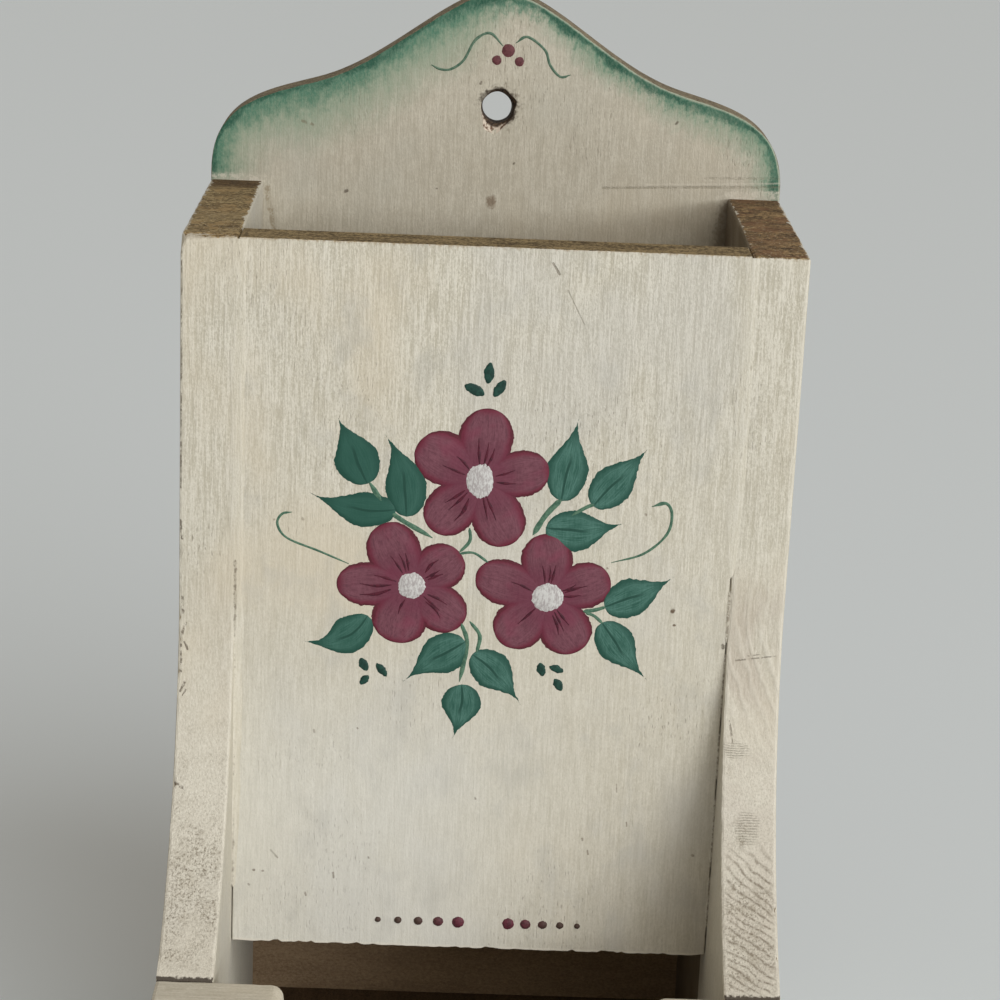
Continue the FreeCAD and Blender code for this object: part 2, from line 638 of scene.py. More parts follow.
def make_shared_groups() -> None:
    """Builds the effects that several finishes share."""
    desk, given, out = new_group("brush_strokes", ["Tone", "Height", "Pore"])
    fine = desk.noise((2700, 2700, 190), 3, 0.66)
    drawn = desk.noise((800, 800, 60), 2, 0.5, shift=3.1)
    tooth = desk.noise((3600, 3600, 2200), 2, 0.7, shift=1.2)
    tone = fine * 0.52 + drawn * 0.08
    desk.feed(out["Tone"], tone + tooth * 0.4)
    relief = fine * 0.7 + drawn * 0.3
    desk.feed(out["Height"], relief + tooth * 0.45)
    slits = desk.ease(desk.noise((3900, 3900, 700), 1, 0.5, shift=8.3), 0.63, 0.74)
    patches = desk.ease(desk.noise((62, 62, 44), 1, 0.5, shift=6.1), 0.52, 0.7)
    desk.feed(out["Pore"], slits * patches)

    desk, given, out = new_group("wood_fibre", ["Tone", "Height"])
    strands = desk.noise((1500, 1500, 230), 4, 0.72)
    bands = desk.noise((300, 300, 80), 2, 0.6, shift=7.7)
    fuzz = desk.noise((2300, 2300, 1500), 3, 0.8)
    tone = strands * 0.16 + bands * 0.22
    desk.feed(out["Tone"], tone + fuzz * 0.62)
    desk.feed(out["Height"], strands + fuzz)

    desk, given, out = new_group("grime", ["Warm", "Cool", "Speck"])
    cloud = desk.noise((30, 30, 20), 3, 0.6, shift=1.7)
    desk.feed(out["Warm"], desk.ease(cloud, 0.5, 0.72))
    desk.feed(out["Cool"], desk.ease(cloud, 0.48, 0.32))
    cells = desk.outs(desk.add("TexVoronoi", {"Vector": desk.place, "Scale": 150.0, "Randomness": 1.0}))
    chance = desk.out("SeparateColor", 0, {0: cells["Color"]})
    width = desk.ease(chance, 0.6, 1.0, 0.0, 0.05)
    desk.feed(out["Speck"], desk.ease(width - cells["Distance"], 0.0, 0.02))

    desk, given, out = new_group("worn_edge", ["Bare"], Wear="Float", Bite="Float")
    ragged = desk.noise((900, 900, 900), 3, 0.65) - 0.5
    worn = given["Wear"] + ragged * given["Bite"]
    desk.feed(out["Bare"], desk.ease(worn, 0.46, 0.62))

    desk, given, out = new_group("mark", ["Mask"], Start="Vector", End="Vector", Width="Float",
                                 Broken="Float")
    reach = desk.vector("SUBTRACT", given["End"], given["Start"])
    gone = desk.vector("SUBTRACT", desk.place, given["Start"])
    share = desk.calc("DIVIDE", desk.vector("DOT_PRODUCT", gone, reach),
                      desk.vector("DOT_PRODUCT", reach, reach), clamp=True)
    foot = desk.out("VectorMath", "Vector", {0: reach, "Scale": share}, operation="SCALE")
    away = desk.vector("LENGTH", desk.vector("SUBTRACT", gone, foot))
    rough = desk.noise((1500, 1500, 1500), 2, 0.6) * 1.5
    near = desk.ease(away * (rough + 0.25) / given["Width"], 1.0, 0.4)
    gaps = desk.ease(desk.noise((1100, 1100, 1100), 3, 0.7, shift=4.1), 0.56, 0.44)
    desk.feed(out["Mask"], near * (1.0 - gaps * given["Broken"]))


@dataclass(frozen=True)
class Mark:
    """A spot, scratch or scribed line on a board, in millimetres."""

    start: Point3
    end: Point3
    width: float
    tint: Colour = paint(92, 66, 40)
    strength: float = 0.8
    groove: float = 0.0
    broken: float = 0.3


def face_marks(front: float, level: float, rows: Sequence[Sequence[Any]]) -> Tuple[Mark, ...]:
    """Marks on one upright face.

    Args:
        front: Y of the face.
        level: height that the rows count from.
        rows: X and height of both ends of each mark, then its width and the rest of its looks.

    Returns:
        The marks.
    """
    return tuple(Mark((x0, front, level + z0), (x1, front, level + z1), *looks)
                 for x0, z0, x1, z1, *looks in rows)


@dataclass(frozen=True)
class PaintedWood:
    """Brushed matt paint on a board, rubbed through to bare wood at its edges."""

    name: str
    light: Colour = paint(213, 207, 192)
    dark: Colour = paint(182, 175, 157)
    warm: Colour = paint(204, 192, 169)
    cool: Colour = paint(192, 189, 182)
    pore: Colour = paint(126, 114, 94)
    wood_light: Colour = paint(178, 153, 108)
    wood_dark: Colour = paint(86, 66, 41)
    inner_light: Colour = paint(168, 143, 112)
    inner_dark: Colour = paint(130, 107, 82)
    grain: Grain = Grain.UPRIGHT
    wood_grain: Grain = Grain.ACROSS
    bite: float = 0.7
    speck: float = 0.5
    slit_share: float = 0.35
    low_drag: float = 0.8
    top_drag: float = 0.5
    mottle: float = 0.15
    rubbed_top: float = 0.0
    bare_inside: bool = True
    marks: Tuple[Mark, ...] = ()

    def coat(self, desk: FinishDesk, sizes: HolderSizes) -> WirePair:
        """Colour and height of the paint itself.

        Args:
            desk: the material's desk.
            sizes: sizes of the holder.

        Returns:
            Colour and height.
        """
        strokes = desk.group("brush_strokes", {"Place": desk.turned(self.grain.value)})
        grime = desk.group("grime")
        spot = desk.spot
        heavy = desk.ease(spot["Z"], sizes.side_top - 75 * MM, sizes.side_top - 5 * MM, self.low_drag,
                          1.0 + self.top_drag)
        swing = (strokes["Tone"] - 0.5) * heavy
        colour = desk.blend(desk.ease(swing, -0.15, 0.15), self.dark, self.light)
        cloudy = desk.ease(desk.noise((430, 430, 360), 4, 0.7, shift=7.1), 0.44, 0.64, 0.0, self.mottle)
        colour = desk.blend(cloudy, colour, self.dark)
        colour = desk.blend(grime["Warm"] * 0.6, colour, self.warm)
        colour = desk.blend(grime["Cool"] * 0.35, colour, self.cool)
        colour = desk.blend(strokes["Pore"] * self.slit_share, colour, self.pore)
        colour = desk.blend(grime["Speck"] * self.speck, colour, paint(112, 90, 64))
        if self.rubbed_top:
            torn = desk.noise((1700, 1700, 1100), 3, 0.75, shift=3.3) * (2.6 * MM)
            near = desk.ease(spot["Z"] + torn, sizes.side_top + 0.9 * MM, sizes.side_top + 1.6 * MM)
            colour = desk.blend(near * self.rubbed_top, colour, paint(142, 116, 76))
        height = strokes["Height"] * heavy
        return colour, height - strokes["Pore"] * 0.5

    def build(self, sizes: HolderSizes) -> Finish:
        """Makes the material.

        Args:
            sizes: sizes of the holder.

        Returns:
            The material.
        """
        desk = FinishDesk(self.name)
        colour, height = self.coat(desk, sizes)
        fibre = desk.group("wood_fibre", {"Place": desk.turned(self.wood_grain.value)})
        wear = desk.out("Attribute", "Fac", attribute_name="wear")
        bare = desk.group("worn_edge", {"Wear": wear, "Bite": self.bite})["Bare"]
        wood, bare = self.bared(desk, sizes, fibre["Tone"], bare)
        colour = desk.blend(bare, colour, wood)
        rubbed = bare
        if self.bare_inside:
            inside = self.unpainted_inside(desk, sizes)
            inner = desk.blend(desk.ease(fibre["Tone"], 0.34, 0.68), self.inner_dark, self.inner_light)
            colour = desk.blend(inside, colour, inner)
            rubbed = desk.calc("MAXIMUM", bare, inside)
        for mark in self.marks:
            ends = {"Start": Vector(mark.start) * MM, "End": Vector(mark.end) * MM}
            mask = desk.group("mark", {**ends, "Width": mark.width * MM, "Broken": mark.broken})["Mask"]
            colour = desk.blend(mask * mark.strength, colour, mark.tint)
            if mark.groove:
                height = height - mask * mark.groove
        height = height * (1.0 - rubbed) + fibre["Height"] * rubbed
        return desk.shade(Base_Color=colour, Roughness=desk.ease(rubbed, 0.0, 1.0, 0.66, 0.92),
                          Specular_IOR_Level=0.3, Normal=desk.relief(height, 0.8, 0.16 * MM))

    def bared(self, desk: FinishDesk, sizes: HolderSizes, tone: Wire, bare: Wire) -> WirePair:
        """Colour of the bare wood, and where it shows.

        Args:
            desk: the material's desk.
            sizes: sizes of the holder.
            tone: tone of the wood's fibre.
            bare: mask of the worn places.

        Returns:
            Colour and mask.
        """
        return desk.blend(desk.ease(tone, 0.42, 0.58), self.wood_dark, self.wood_light), bare

    def unpainted_inside(self, desk: FinishDesk, sizes: HolderSizes) -> Wire:
        """Mask of the walls deep in the bay, which the brush did not reach.

        Args:
            desk: the material's desk.
            sizes: sizes of the holder.

        Returns:
            1 on the bare walls, 0 on paint.
        """
        spot = desk.spot
        slack = 0.06 * MM
        ragged = desk.noise((420, 420, 60), 2, 0.65) * (26 * MM)
        deep = desk.ease(spot["Z"] + ragged, sizes.side_top - 26 * MM, sizes.side_top - 32 * MM)
        between = desk.calc("LESS_THAN", abs(spot["X"]), sizes.inner_half_width + slack)
        behind = desk.calc("GREATER_THAN", spot["Y"], sizes.panel_back_y - slack)
        ahead = desk.calc("LESS_THAN", spot["Y"], sizes.back_y + slack)
        return deep * (between * (behind * ahead))


@dataclass(frozen=True)
class SidePaint(PaintedWood):
    """The cream paint of a side board, lapped over its bare top, with painted shade on its inner face in
    the bay.
    """

    tint: Colour = paint(128, 96, 62)
    rear: Colour = paint(92, 66, 38)
    fleck: Colour = paint(196, 183, 154)
    sheen: Colour = paint(140, 122, 88)
    rear_share: float = 0.8
    # share of painted shade on the inner face in the bay
    bay_shade: float = 0.0

    def coat(self, desk: FinishDesk, sizes: HolderSizes) -> WirePair:
        """Colour and height of the paint with the painted shade in the bay.

        Args:
            desk: the material's desk.
            sizes: sizes of the holder.

        Returns:
            Colour and height.
        """
        colour, height = super().coat(desk, sizes)
        # Painted shade on the inner face in the bay, which is turned from the light: brown like bare wood,
        # darker towards the rear corner.
        if self.bay_shade:
            spot = desk.spot
            inner = desk.calc("LESS_THAN", abs(spot["X"]), sizes.inner_half_width + 0.3 * MM)
            bay = desk.calc("GREATER_THAN", spot["Y"], sizes.panel_back_y)
            cloud = desk.ease(desk.noise((90, 90, 60), 2, 0.6), 0.35, 0.65, 0.85, 1.0)
            share = inner * bay * (cloud * self.bay_shade)
            deep = desk.ease(spot["Y"], sizes.back_y - 22 * MM, sizes.back_y - 2 * MM)
            colour = desk.blend(share, colour, desk.blend(deep, paint(104, 86, 60), paint(82, 64, 43)))
        return colour, height

    def bared(self, desk: FinishDesk, sizes: HolderSizes, tone: Wire, bare: Wire) -> WirePair:
        """Fuzzy top with a dark rear end, pale flecks and ragged laps of paint.

        Args:
            desk: the material's desk.
            sizes: sizes of the holder.
            tone: tone of the wood's fibre.
            bare: mask of the worn places.

        Returns:
            Colour and mask.
        """
        wood, bare = super().bared(desk, sizes, tone, bare)
        spot = desk.spot
        patches = desk.ease(desk.noise((240, 240, 240), 3, 0.65, shift=5.2), 0.48, 0.62, 0.0, 0.65)
        wood = desk.blend(patches, wood, self.tint)
        smooth = desk.ease(desk.noise((110, 190, 110), 2, 0.55, shift=3.7), 0.48, 0.62, 0.0, 0.55)
        wood = desk.blend(smooth, wood, self.sheen)
        dusty = desk.ease(desk.noise((320, 520, 320), 3, 0.7, shift=8.8), 0.5, 0.64, 0.0, 0.6)
        wood = desk.blend(dusty, wood, self.wood_dark)
        ragged = desk.noise((700, 700, 700), 3, 0.7, shift=2.6) * (4 * MM)
        band = desk.ease(spot["Y"] + ragged, sizes.back_y - 8.0 * MM, sizes.back_y - 2.6 * MM, 0.0,
                         self.rear_share)
        dusk = desk.blend(desk.ease(tone, 0.4, 0.6), paint(62, 44, 26), self.rear)
        wood = desk.blend(band, wood, dusk)
        flecks = desk.ease(desk.noise((1500, 1500, 1500), 3, 0.75, shift=6.6), 0.58, 0.66)
        ahead = desk.ease(spot["Y"], sizes.back_y - 6 * MM, sizes.panel_front_y, 0.25, 0.85)
        wood = desk.blend(flecks * ahead, wood, self.fleck)
        inner = abs(spot["X"]) - sizes.inner_half_width
        before = desk.ease(spot["Y"], sizes.panel_back_y + 0.5 * MM, sizes.panel_back_y - 0.5 * MM, 0.0,
                           3 * MM)
        edge = desk.calc("MINIMUM", inner + before, sizes.half_width - sizes.inner_half_width - inner)
        uneven = desk.noise((430, 430, 430), 4, 0.75, shift=9.1) * (3.2 * MM)
        lap = desk.ease(edge + uneven, 2.05 * MM, 1.75 * MM)
        high = desk.calc("GREATER_THAN", spot["Z"], sizes.side_top - 0.6 * MM)
        bare = bare * (1.0 - lap * high)
        seat = high * desk.calc("LESS_THAN", spot["Y"], sizes.panel_back_y)
        seat = seat * desk.calc("LESS_THAN", inner, 2 * MM)
        return wood, desk.calc("MAXIMUM", bare, seat)


@dataclass(frozen=True)
class PanelPaint(PaintedWood):
    """The cream paint of the panel, thick and pale along its torn lower edge (partly a painted highlight),
    with painted light on its lower left.
    """

    def coat(self, desk: FinishDesk, sizes: HolderSizes) -> WirePair:
        """Colour and height of the paint with its pale edge, partly a painted highlight, and the painted
        light on its lower left.

        Args:
            desk: the material's desk.
            sizes: sizes of the holder.

        Returns:
            Colour and height.
        """
        colour, height = super().coat(desk, sizes)
        spot = desk.spot
        # Painted light: the lower left of the panel is paler where the light falls, fading out towards the
        # right.
        painted_light = desk.ease(spot["Z"], sizes.side_top - 62 * MM, sizes.side_top - 96 * MM, 0.0, 0.3)
        colour = desk.blend(painted_light * desk.ease(spot["X"], 26 * MM, -18 * MM), colour, paint(230, 231, 226))
        smudge = desk.ease(desk.noise((105, 105, 75), 4, 0.62, shift=5.9), 0.5, 0.68, 0.0, 0.34)
        colour = desk.blend(smudge, colour, paint(176, 173, 164))
        # Pale band along the torn lower edge: thick paint, partly a painted highlight on the arris.
        low = desk.ease(spot["Z"], sizes.panel_bottom + 0.7 * MM, sizes.panel_bottom + 0.25 * MM, 0.0, 0.7)
        return desk.blend(low, colour, paint(222, 215, 200)), height


@dataclass(frozen=True)
class CrestPaint(PaintedWood):
    """The cream paint of the back board, sponged green along the edge of the crest."""

    green: Colour = paint(36, 82, 64)
    mid_green: Colour = paint(78, 120, 98)
    pale_green: Colour = paint(126, 149, 125)

    def coat(self, desk: FinishDesk, sizes: HolderSizes) -> WirePair:
        """Colour and height of the paint with its green edge.

        Args:
            desk: the material's desk.
            sizes: sizes of the holder.

        Returns:
            Colour and height.
        """
        colour, height = super().coat(desk, sizes)
        spot = desk.spot
        across = abs(spot["X"])
        outline = desk.add("FloatCurve", {"Value": across / sizes.half_width})
        rise = sizes.crest_top - sizes.side_top
        line = outline.mapping.curves[0]
        points = sorted((x / sizes.half_width, (z - sizes.side_top) / rise)
                        for x, z in sizes.crest_points(6))
        line.points[0].location = points[0]
        line.points[1].location = points[-1]
        for x, z in points[1:-1]:
            line.points.new(x, z)
        outline.mapping.update()
        crest = desk.outs(outline)["Value"] * rise + sizes.side_top
        below = (crest - spot["Z"]) * 0.84
        beside = sizes.half_width - across
        edge = desk.out("Math", 0, {0: below, 1: beside, 2: 4 * MM}, operation="SMOOTH_MIN")
        drips = desk.noise((1300, 1300, 240), 3, 0.65) - 0.5
        sponge = desk.noise((760, 760, 520), 4, 0.78, shift=5.3) - 0.5
        swell = desk.noise((60, 60, 60), 1, 0.5, shift=9.4) - 0.5
        left = desk.ease(spot["X"], 8 * MM, -8 * MM)
        soft = edge + (drips * (2.2 * MM) + swell * (6 * MM)) + sponge * (4.5 * MM)
        wash = desk.ease(soft / desk.ease(left, 0.0, 1.0, 6.4 * MM, 11.5 * MM), 0.0, 1.0, 0.92, 0.0)
        mottled = edge + (sponge * (7 * MM) + drips * (1.8 * MM))
        band = desk.ease(mottled / desk.ease(left, 0.0, 1.0, 3.0 * MM, 5.0 * MM), 0.1, 1.0, 1.0, 0.0)
        speckle = desk.ease(desk.noise((2300, 2300, 1500), 3, 0.75, shift=6.2), 0.36, 0.6, 0.62, 1.0)
        band = band * speckle
        inset = desk.ease(left, 0.0, 1.0, 0.5 * MM, 0.05 * MM)
        thick = desk.ease(desk.noise((105, 105, 105), 1, 0.5, shift=4.7), 0.4, 0.62, 0.65, 1.7)
        inked = (edge + sponge * (1.3 * MM) - inset) / thick
        line_share = desk.ease(inked, 1.25 * MM, 0.45 * MM) * desk.ease(inked, -0.35 * MM, 0.05 * MM)
        patchy = desk.ease(desk.noise((240, 240, 120), 2, 0.6, shift=2.9), 0.34, 0.6, 0.45, 0.95)
        line_share = line_share * (patchy * speckle)
        above = desk.ease(spot["Z"], sizes.side_top - 2 * MM, sizes.side_top + 3 * MM)
        rimless = desk.calc("MAXIMUM", desk.ease(edge, 0.15 * MM, 0.5 * MM, 0.35, 1.0), left)
        colour = desk.blend(wash * above * rimless, colour, self.pale_green)
        colour = desk.blend(band * above * rimless, colour, self.mid_green)
        return desk.blend(line_share * above, colour, self.green), height


@dataclass(frozen=True)
class FlareEdge(PaintedWood):
    """Paint on the sawn front edge of a side, with open pores and year rings where it crosses the grain."""

    ring_lean: Point2 = (0.615, 0.788)
    ring_gap: float = 1.0
    ring_share: float = 0.9
    pore_share: float = 0.55
    ring_start: float = 70.5
    saw_share: float = 0.0
    flush_share: float = 0.1
    smudge_share: float = 0.6
    dirt_height: float = 68.0
    dirt_reach: float = 15.0
    combs: Tuple[Tuple[float, ...], ...] = ()

    def bared(self, desk: FinishDesk, sizes: HolderSizes, tone: Wire, bare: Wire) -> WirePair:
        """Bare wood, with the paint drawn up to the very top of the edge.

        Args:
            desk: the material's desk.
            sizes: sizes of the holder.
            tone: tone of the wood's fibre.
            bare: mask of the worn places.

        Returns:
            Colour and mask.
        """
        wood, bare = super().bared(desk, sizes, tone, bare)
        height = desk.spot["Z"]
        torn = desk.noise((800, 800, 800), 3, 0.7, shift=2.8) * (1.2 * MM)
        edge = desk.ease(height + torn, sizes.side_top + 0.3 * MM, sizes.side_top + 0.55 * MM)
        below = desk.calc("LESS_THAN", height, sizes.side_top - 2 * MM)
        return wood, bare * desk.calc("MAXIMUM", edge, below)

    def coat(self, desk: FinishDesk, sizes: HolderSizes) -> WirePair:
        """Colour and height of the paint over the open grain.

        Args:
            desk: the material's desk.
            sizes: sizes of the holder.

        Returns:
            Colour and height.
        """
        colour, height = super().coat(desk, sizes)
        spot = desk.spot
        crossing = desk.ease(spot["Z"], sizes.flare_top - 8 * MM, sizes.lip_top + 18 * MM)
        ringed = desk.ease(spot["Z"], self.ring_start * MM, (self.ring_start - 9) * MM)
        sawn = desk.ease(spot["Z"], sizes.flare_top + 18 * MM, sizes.flare_top - 10 * MM)
        wander = desk.noise((150, 150, 80), 3, 0.5) * (3.0 * MM)
        depth = spot["X"] * self.ring_lean[0] + (spot["Y"] * self.ring_lean[1] + wander)
        turn = desk.calc("FRACT", depth / (self.ring_gap * MM))
        late = desk.ease(abs(turn - 0.5), 0.3, 0.02)
        from_dirt = abs(spot["Z"] - self.dirt_height * MM)
        patches = (desk.noise((170, 170, 110), 2, 0.6, shift=2.2)
                   + desk.ease(from_dirt, self.dirt_reach * MM, 0.0, -0.12, 0.12))
        patches = desk.ease(patches, 0.38, 0.64, 0.1, 1.0)
        fine = desk.noise((3600, 3600, 2300), 2, 0.7)
        dots = desk.ease(desk.noise((2500, 2500, 1600), 4, 0.8, shift=3.7), 0.47, 0.63)
        pores = dots * patches * self.pore_share + desk.ease(fine, 0.45, 0.65, 0.0, 0.2)
        broken = desk.ease(desk.noise((1900, 1900, 1300), 4, 0.85, shift=4.4), 0.34, 0.56)
        rings = late * broken * (ringed * self.ring_share)
        middle = abs(spot["X"]) - sizes.side_middle
        inward = desk.ease(abs(middle), 4.4 * MM, 3.0 * MM, 0.25, 1.0)
        dark = desk.calc("MAXIMUM", pores, rings * inward) * crossing
        uneven = desk.noise((900, 900, 500), 3, 0.6, shift=3.3)
        waver = wander * 900.0 + uneven * 7.0
        teeth = desk.calc("SINE", spot["Z"] * (2 * math.pi / (0.36 * MM)) + waver)
        bench = 0.0
        for x, z, half_width, half_height in self.combs:
            aside = (spot["X"] - x * MM) / (half_width * MM)
            away = (spot["Z"] - z * MM) / (half_height * MM)
            spread = aside * aside + away * away
            bench = desk.calc("MAXIMUM", bench, desk.ease(spread + uneven, 1.5, 0.7))
        saw = desk.ease(teeth, -0.4, 1.0) * bench * self.saw_share * broken
        ridge = late * sawn * (1.0 - crossing)
        cloud = desk.ease(desk.noise((170, 170, 70), 2, 0.6, shift=7.4), 0.36, 0.6, 0.25, 1.0)
        flush = desk.ease(spot["Z"], sizes.flare_top + 8 * MM, sizes.flare_top - 4 * MM)
        colour = desk.blend(flush * (cloud * self.flush_share), colour, paint(172, 157, 142))
        colour = desk.blend(crossing * 0.42, colour, paint(226, 221, 207))
        smudge = desk.ease(desk.noise((420, 420, 260), 4, 0.7, shift=1.3), 0.46, 0.66, 0.0,
                           self.smudge_share)
        colour = desk.blend(smudge * (patches * crossing), colour, paint(138, 124, 100))
        colour = desk.blend(ridge * (0.35 * self.ring_share), colour, self.light)
        colour = desk.blend(desk.calc("MAXIMUM", dark, saw), colour, self.pore)
        border = desk.ease(abs(middle), 3.6 * MM, 4.3 * MM, 0.0, 0.45)
        colour = desk.blend(border, colour, self.light)
        torn = spot["Z"] + desk.noise((1400, 1400, 1400), 2, 0.6, shift=1.9) * (0.7 * MM)
        ledge = desk.ease(torn, sizes.lip_top + 1.3 * MM, sizes.lip_top + 0.8 * MM)
        colour = desk.blend(ledge * 0.6, colour, self.light)
        # Dark band at the foot where the flare meets the lip: painted shade in the crack between them.
        foot = desk.ease(torn, sizes.lip_top + 0.78 * MM, sizes.lip_top + 0.56 * MM)
        colour = desk.blend(foot * 0.92, colour, paint(52, 39, 26))
        height = height + ridge * (0.8 * self.ring_share)
        return colour, height - (fine * crossing + saw)


@dataclass(frozen=True)
class HoleWall:
    """Wall of the hanging hole: dark as painted shade, pale where it broke out below."""

    name: str

    def build(self, sizes: HolderSizes) -> Finish:
        """Makes the material.

        Args:
            sizes: sizes of the holder.

        Returns:
            The material.
        """
        desk = FinishDesk(self.name)
        spot = desk.spot
        rough = desk.noise((1500, 1500, 1500), 3, 0.65)
        lean = spot["Z"] + spot["X"] * 0.45
        height = sizes.side_top + sizes.hole_rise
        low = desk.ease(lean + rough * (1.6 * MM), height - 1.2 * MM, height - 2.2 * MM)
        low = low * desk.ease(spot["Y"], sizes.back_y + 0.75 * MM, sizes.back_y + 0.5 * MM)
        # Dark brown wall: painted shade inside the hole.
        grime = desk.blend(desk.ease(rough, 0.35, 0.65), paint(38, 28, 20), paint(92, 72, 52))
        broken = desk.blend(desk.ease(rough, 0.4, 0.56), paint(104, 78, 58), paint(212, 198, 180))
        return desk.shade(Base_Color=desk.blend(low, grime, broken), Roughness=0.9,
                          Normal=desk.relief(rough, 0.7, 0.2 * MM))


@dataclass(frozen=True)
class BareWood:
    """Bare softwood, darkened with age."""

    name: str
    light: Colour
    dark: Colour
    grain: Grain = Grain.UPRIGHT
    roughness: float = 0.85
    figure: float = 0.0

    def build(self) -> Finish:
        """Makes the material.

        Returns:
            The material.
        """
        desk = FinishDesk(self.name)
        turned = desk.turned(self.grain.value)
        fibre = desk.group("wood_fibre", {"Place": turned})
        colour = desk.blend(desk.ease(fibre["Tone"], 0.34, 0.68), self.dark, self.light)
        grime = desk.group("grime")
        colour = desk.blend(grime["Warm"] * 0.45, colour, self.dark)
        if self.figure:
            swell = desk.noise((42, 42, 4.5), 1, 0.4, shift=8.6, place=turned)
            sway = desk.noise((700, 700, 60), 2, 0.6, place=turned) * 0.035
            turn = desk.calc("FRACT", (swell + sway) * 26.0)
            late = desk.ease(turn, 0.35, 0.92) * desk.ease(turn, 1.0, 0.94)
            colour = desk.blend(late * self.figure, colour, self.dark)
        return desk.shade(Base_Color=colour, Roughness=self.roughness, Specular_IOR_Level=0.25,
                          Normal=desk.relief(fibre["Height"], 0.5, 0.12 * MM))


def dimple_cutter(spots: Sequence[Vector], outward: Vector) -> Piece:
    """Shallow round dimples above sunk brads, as one cutter.

    Args:
        spots: middles of the dimples on the board's face.
        outward: direction away from the board.

    Returns:
        The cutter.
    """
    bpy.ops.object.select_all(action="DESELECT")
    bpy.ops.mesh.primitive_cone_add(vertices=20, radius1=0.8 * MM, radius2=1.15 * MM, depth=1.2 * MM)
    model = bpy.context.object
    rounds = set_out(model, spots, outward)
    bpy.data.objects.remove(model)
    return join_up(rounds, "dimples")


def set_out(model: Piece, spots: Sequence[Vector], outward: Vector) -> List[Piece]:
    """Copies a model to each of its places.

    Args:
        model: the model, upright at the origin.
        spots: middles of the copies.
        outward: direction that its top turns to.

    Returns:
        The copies, each with its own mesh.
    """
    copies = []
    for spot in spots:
        copy = model.copy()
        copy.data = model.data.copy()
        copy.location = spot
        copy.rotation_euler = outward.to_track_quat("Z", "Y").to_euler()
        bpy.context.collection.objects.link(copy)
        copies.append(copy)
    return copies


def join_up(things: Sequence[Piece], name: str) -> Piece:
    """Joins objects into one with its transform applied.

    Args:
        things: the objects.
        name: name of the joined piece.

    Returns:
        The piece.
    """
    bpy.ops.object.select_all(action="DESELECT")
    for thing in things:
        thing.select_set(True)
    bpy.context.view_layer.objects.active = things[0]
    bpy.ops.object.transform_apply(location=True, rotation=True, scale=True)
    if len(things) > 1:
        bpy.ops.object.join()
    things[0].name = name
    things[0].data.name = name
    return things[0]


@dataclass
class BradRows:
    """Steel wire brads that hold the boards, sunk a little below the faces."""

    sizes: HolderSizes
    radius: float = 0.7 * MM
    length: float = 21 * MM
    sunk: float = 0.25 * MM
    round_over: float = 0.18 * MM

    def back_spots(self) -> List[Vector]:
        """Brads through the back into the sides and the floor.

        Returns:
            Middles of the heads.
        """
        s = self.sizes
        spots = [Vector((side * s.side_middle, s.wall_y, s.side_top * share)) for side in (-1, 1)
                 for share in (0.12, 0.5, 0.9)]
        return spots + [Vector((side * s.inner_half_width / 2, s.wall_y, s.floor_top / 2))
                        for side in (-1, 1)]

    def panel_spots(self, hand: Hand) -> List[Vector]:
        """Brads through one side into the panel.

        Args:
            hand: the side.

        Returns:
            Middles of the heads.
        """
        s = self.sizes
        height = s.side_top - s.panel_bottom
        y = (s.panel_front_y + s.panel_back_y) / 2
        return [Vector((hand.value * s.half_width, y, s.panel_bottom + height * share))
                for share in (0.15, 0.85)]

    def floor_spots(self, hand: Hand) -> List[Vector]:
        """Brads through one side into the floor.

        Args:
            hand: the side.

        Returns:
            Middles of the heads.
        """
        s = self.sizes
        y = s.lip_back_y + (s.back_y - s.lip_back_y) * 0.4
        return [Vector((hand.value * s.half_width, y, s.floor_top / 2))]

    def lip_spots(self) -> List[Vector]:
        """Brads through the lip into the sides.

        Returns:
            Middles of the heads.
        """
        s = self.sizes
        return [Vector((side * s.side_middle, s.lip_front_y, s.lip_top * share)) for side in (-1, 1)
                for share in (0.35, 0.8)]

    def build(self, name: str, rows: Sequence[Tuple[Vector, List[Vector]]]) -> Piece:
        """Draws one group of brads.

        Args:
            name: name of the group.
            rows: outward direction and spots of each row.

        Returns:
            The group as one piece.
        """
        bpy.ops.object.select_all(action="DESELECT")
        bpy.ops.mesh.primitive_cylinder_add(vertices=20, radius=self.radius, depth=self.length - self.sunk)
        pin = bpy.context.object
        bpy.ops.object.mode_set(mode="EDIT")
        bpy.ops.mesh.select_all(action="DESELECT")
        bpy.ops.mesh.select_mode(type="EDGE")
        bpy.ops.mesh.edges_select_sharp(sharpness=SHARP)
        bpy.ops.mesh.bevel(offset=self.round_over, segments=2)
        bpy.ops.object.mode_set(mode="OBJECT")
        pins = []
        for outward, spots in rows:
            inward = outward * (self.length + self.sunk) / 2
            pins += set_out(pin, [spot - inward for spot in spots], outward)
        bpy.data.objects.remove(pin)
        return join_up(pins, name)

    def dress(self, pins: Piece) -> None:
        """Gives the brads their dull steel.

        Args:
            pins: the brads.
        """
        desk = FinishDesk("dull_steel_" + pins.name)
        rust = desk.ease(desk.noise((900, 900, 900), 2, 0.6), 0.42, 0.62)
        colour = desk.blend(rust, paint(150, 148, 144), paint(104, 74, 52))
        dress(pins, [desk.shade(Base_Color=colour, Metallic=desk.ease(rust, 0.0, 1.0, 0.9, 0.1),
                                Roughness=desk.ease(rust, 0.0, 1.0, 0.4, 0.85))])


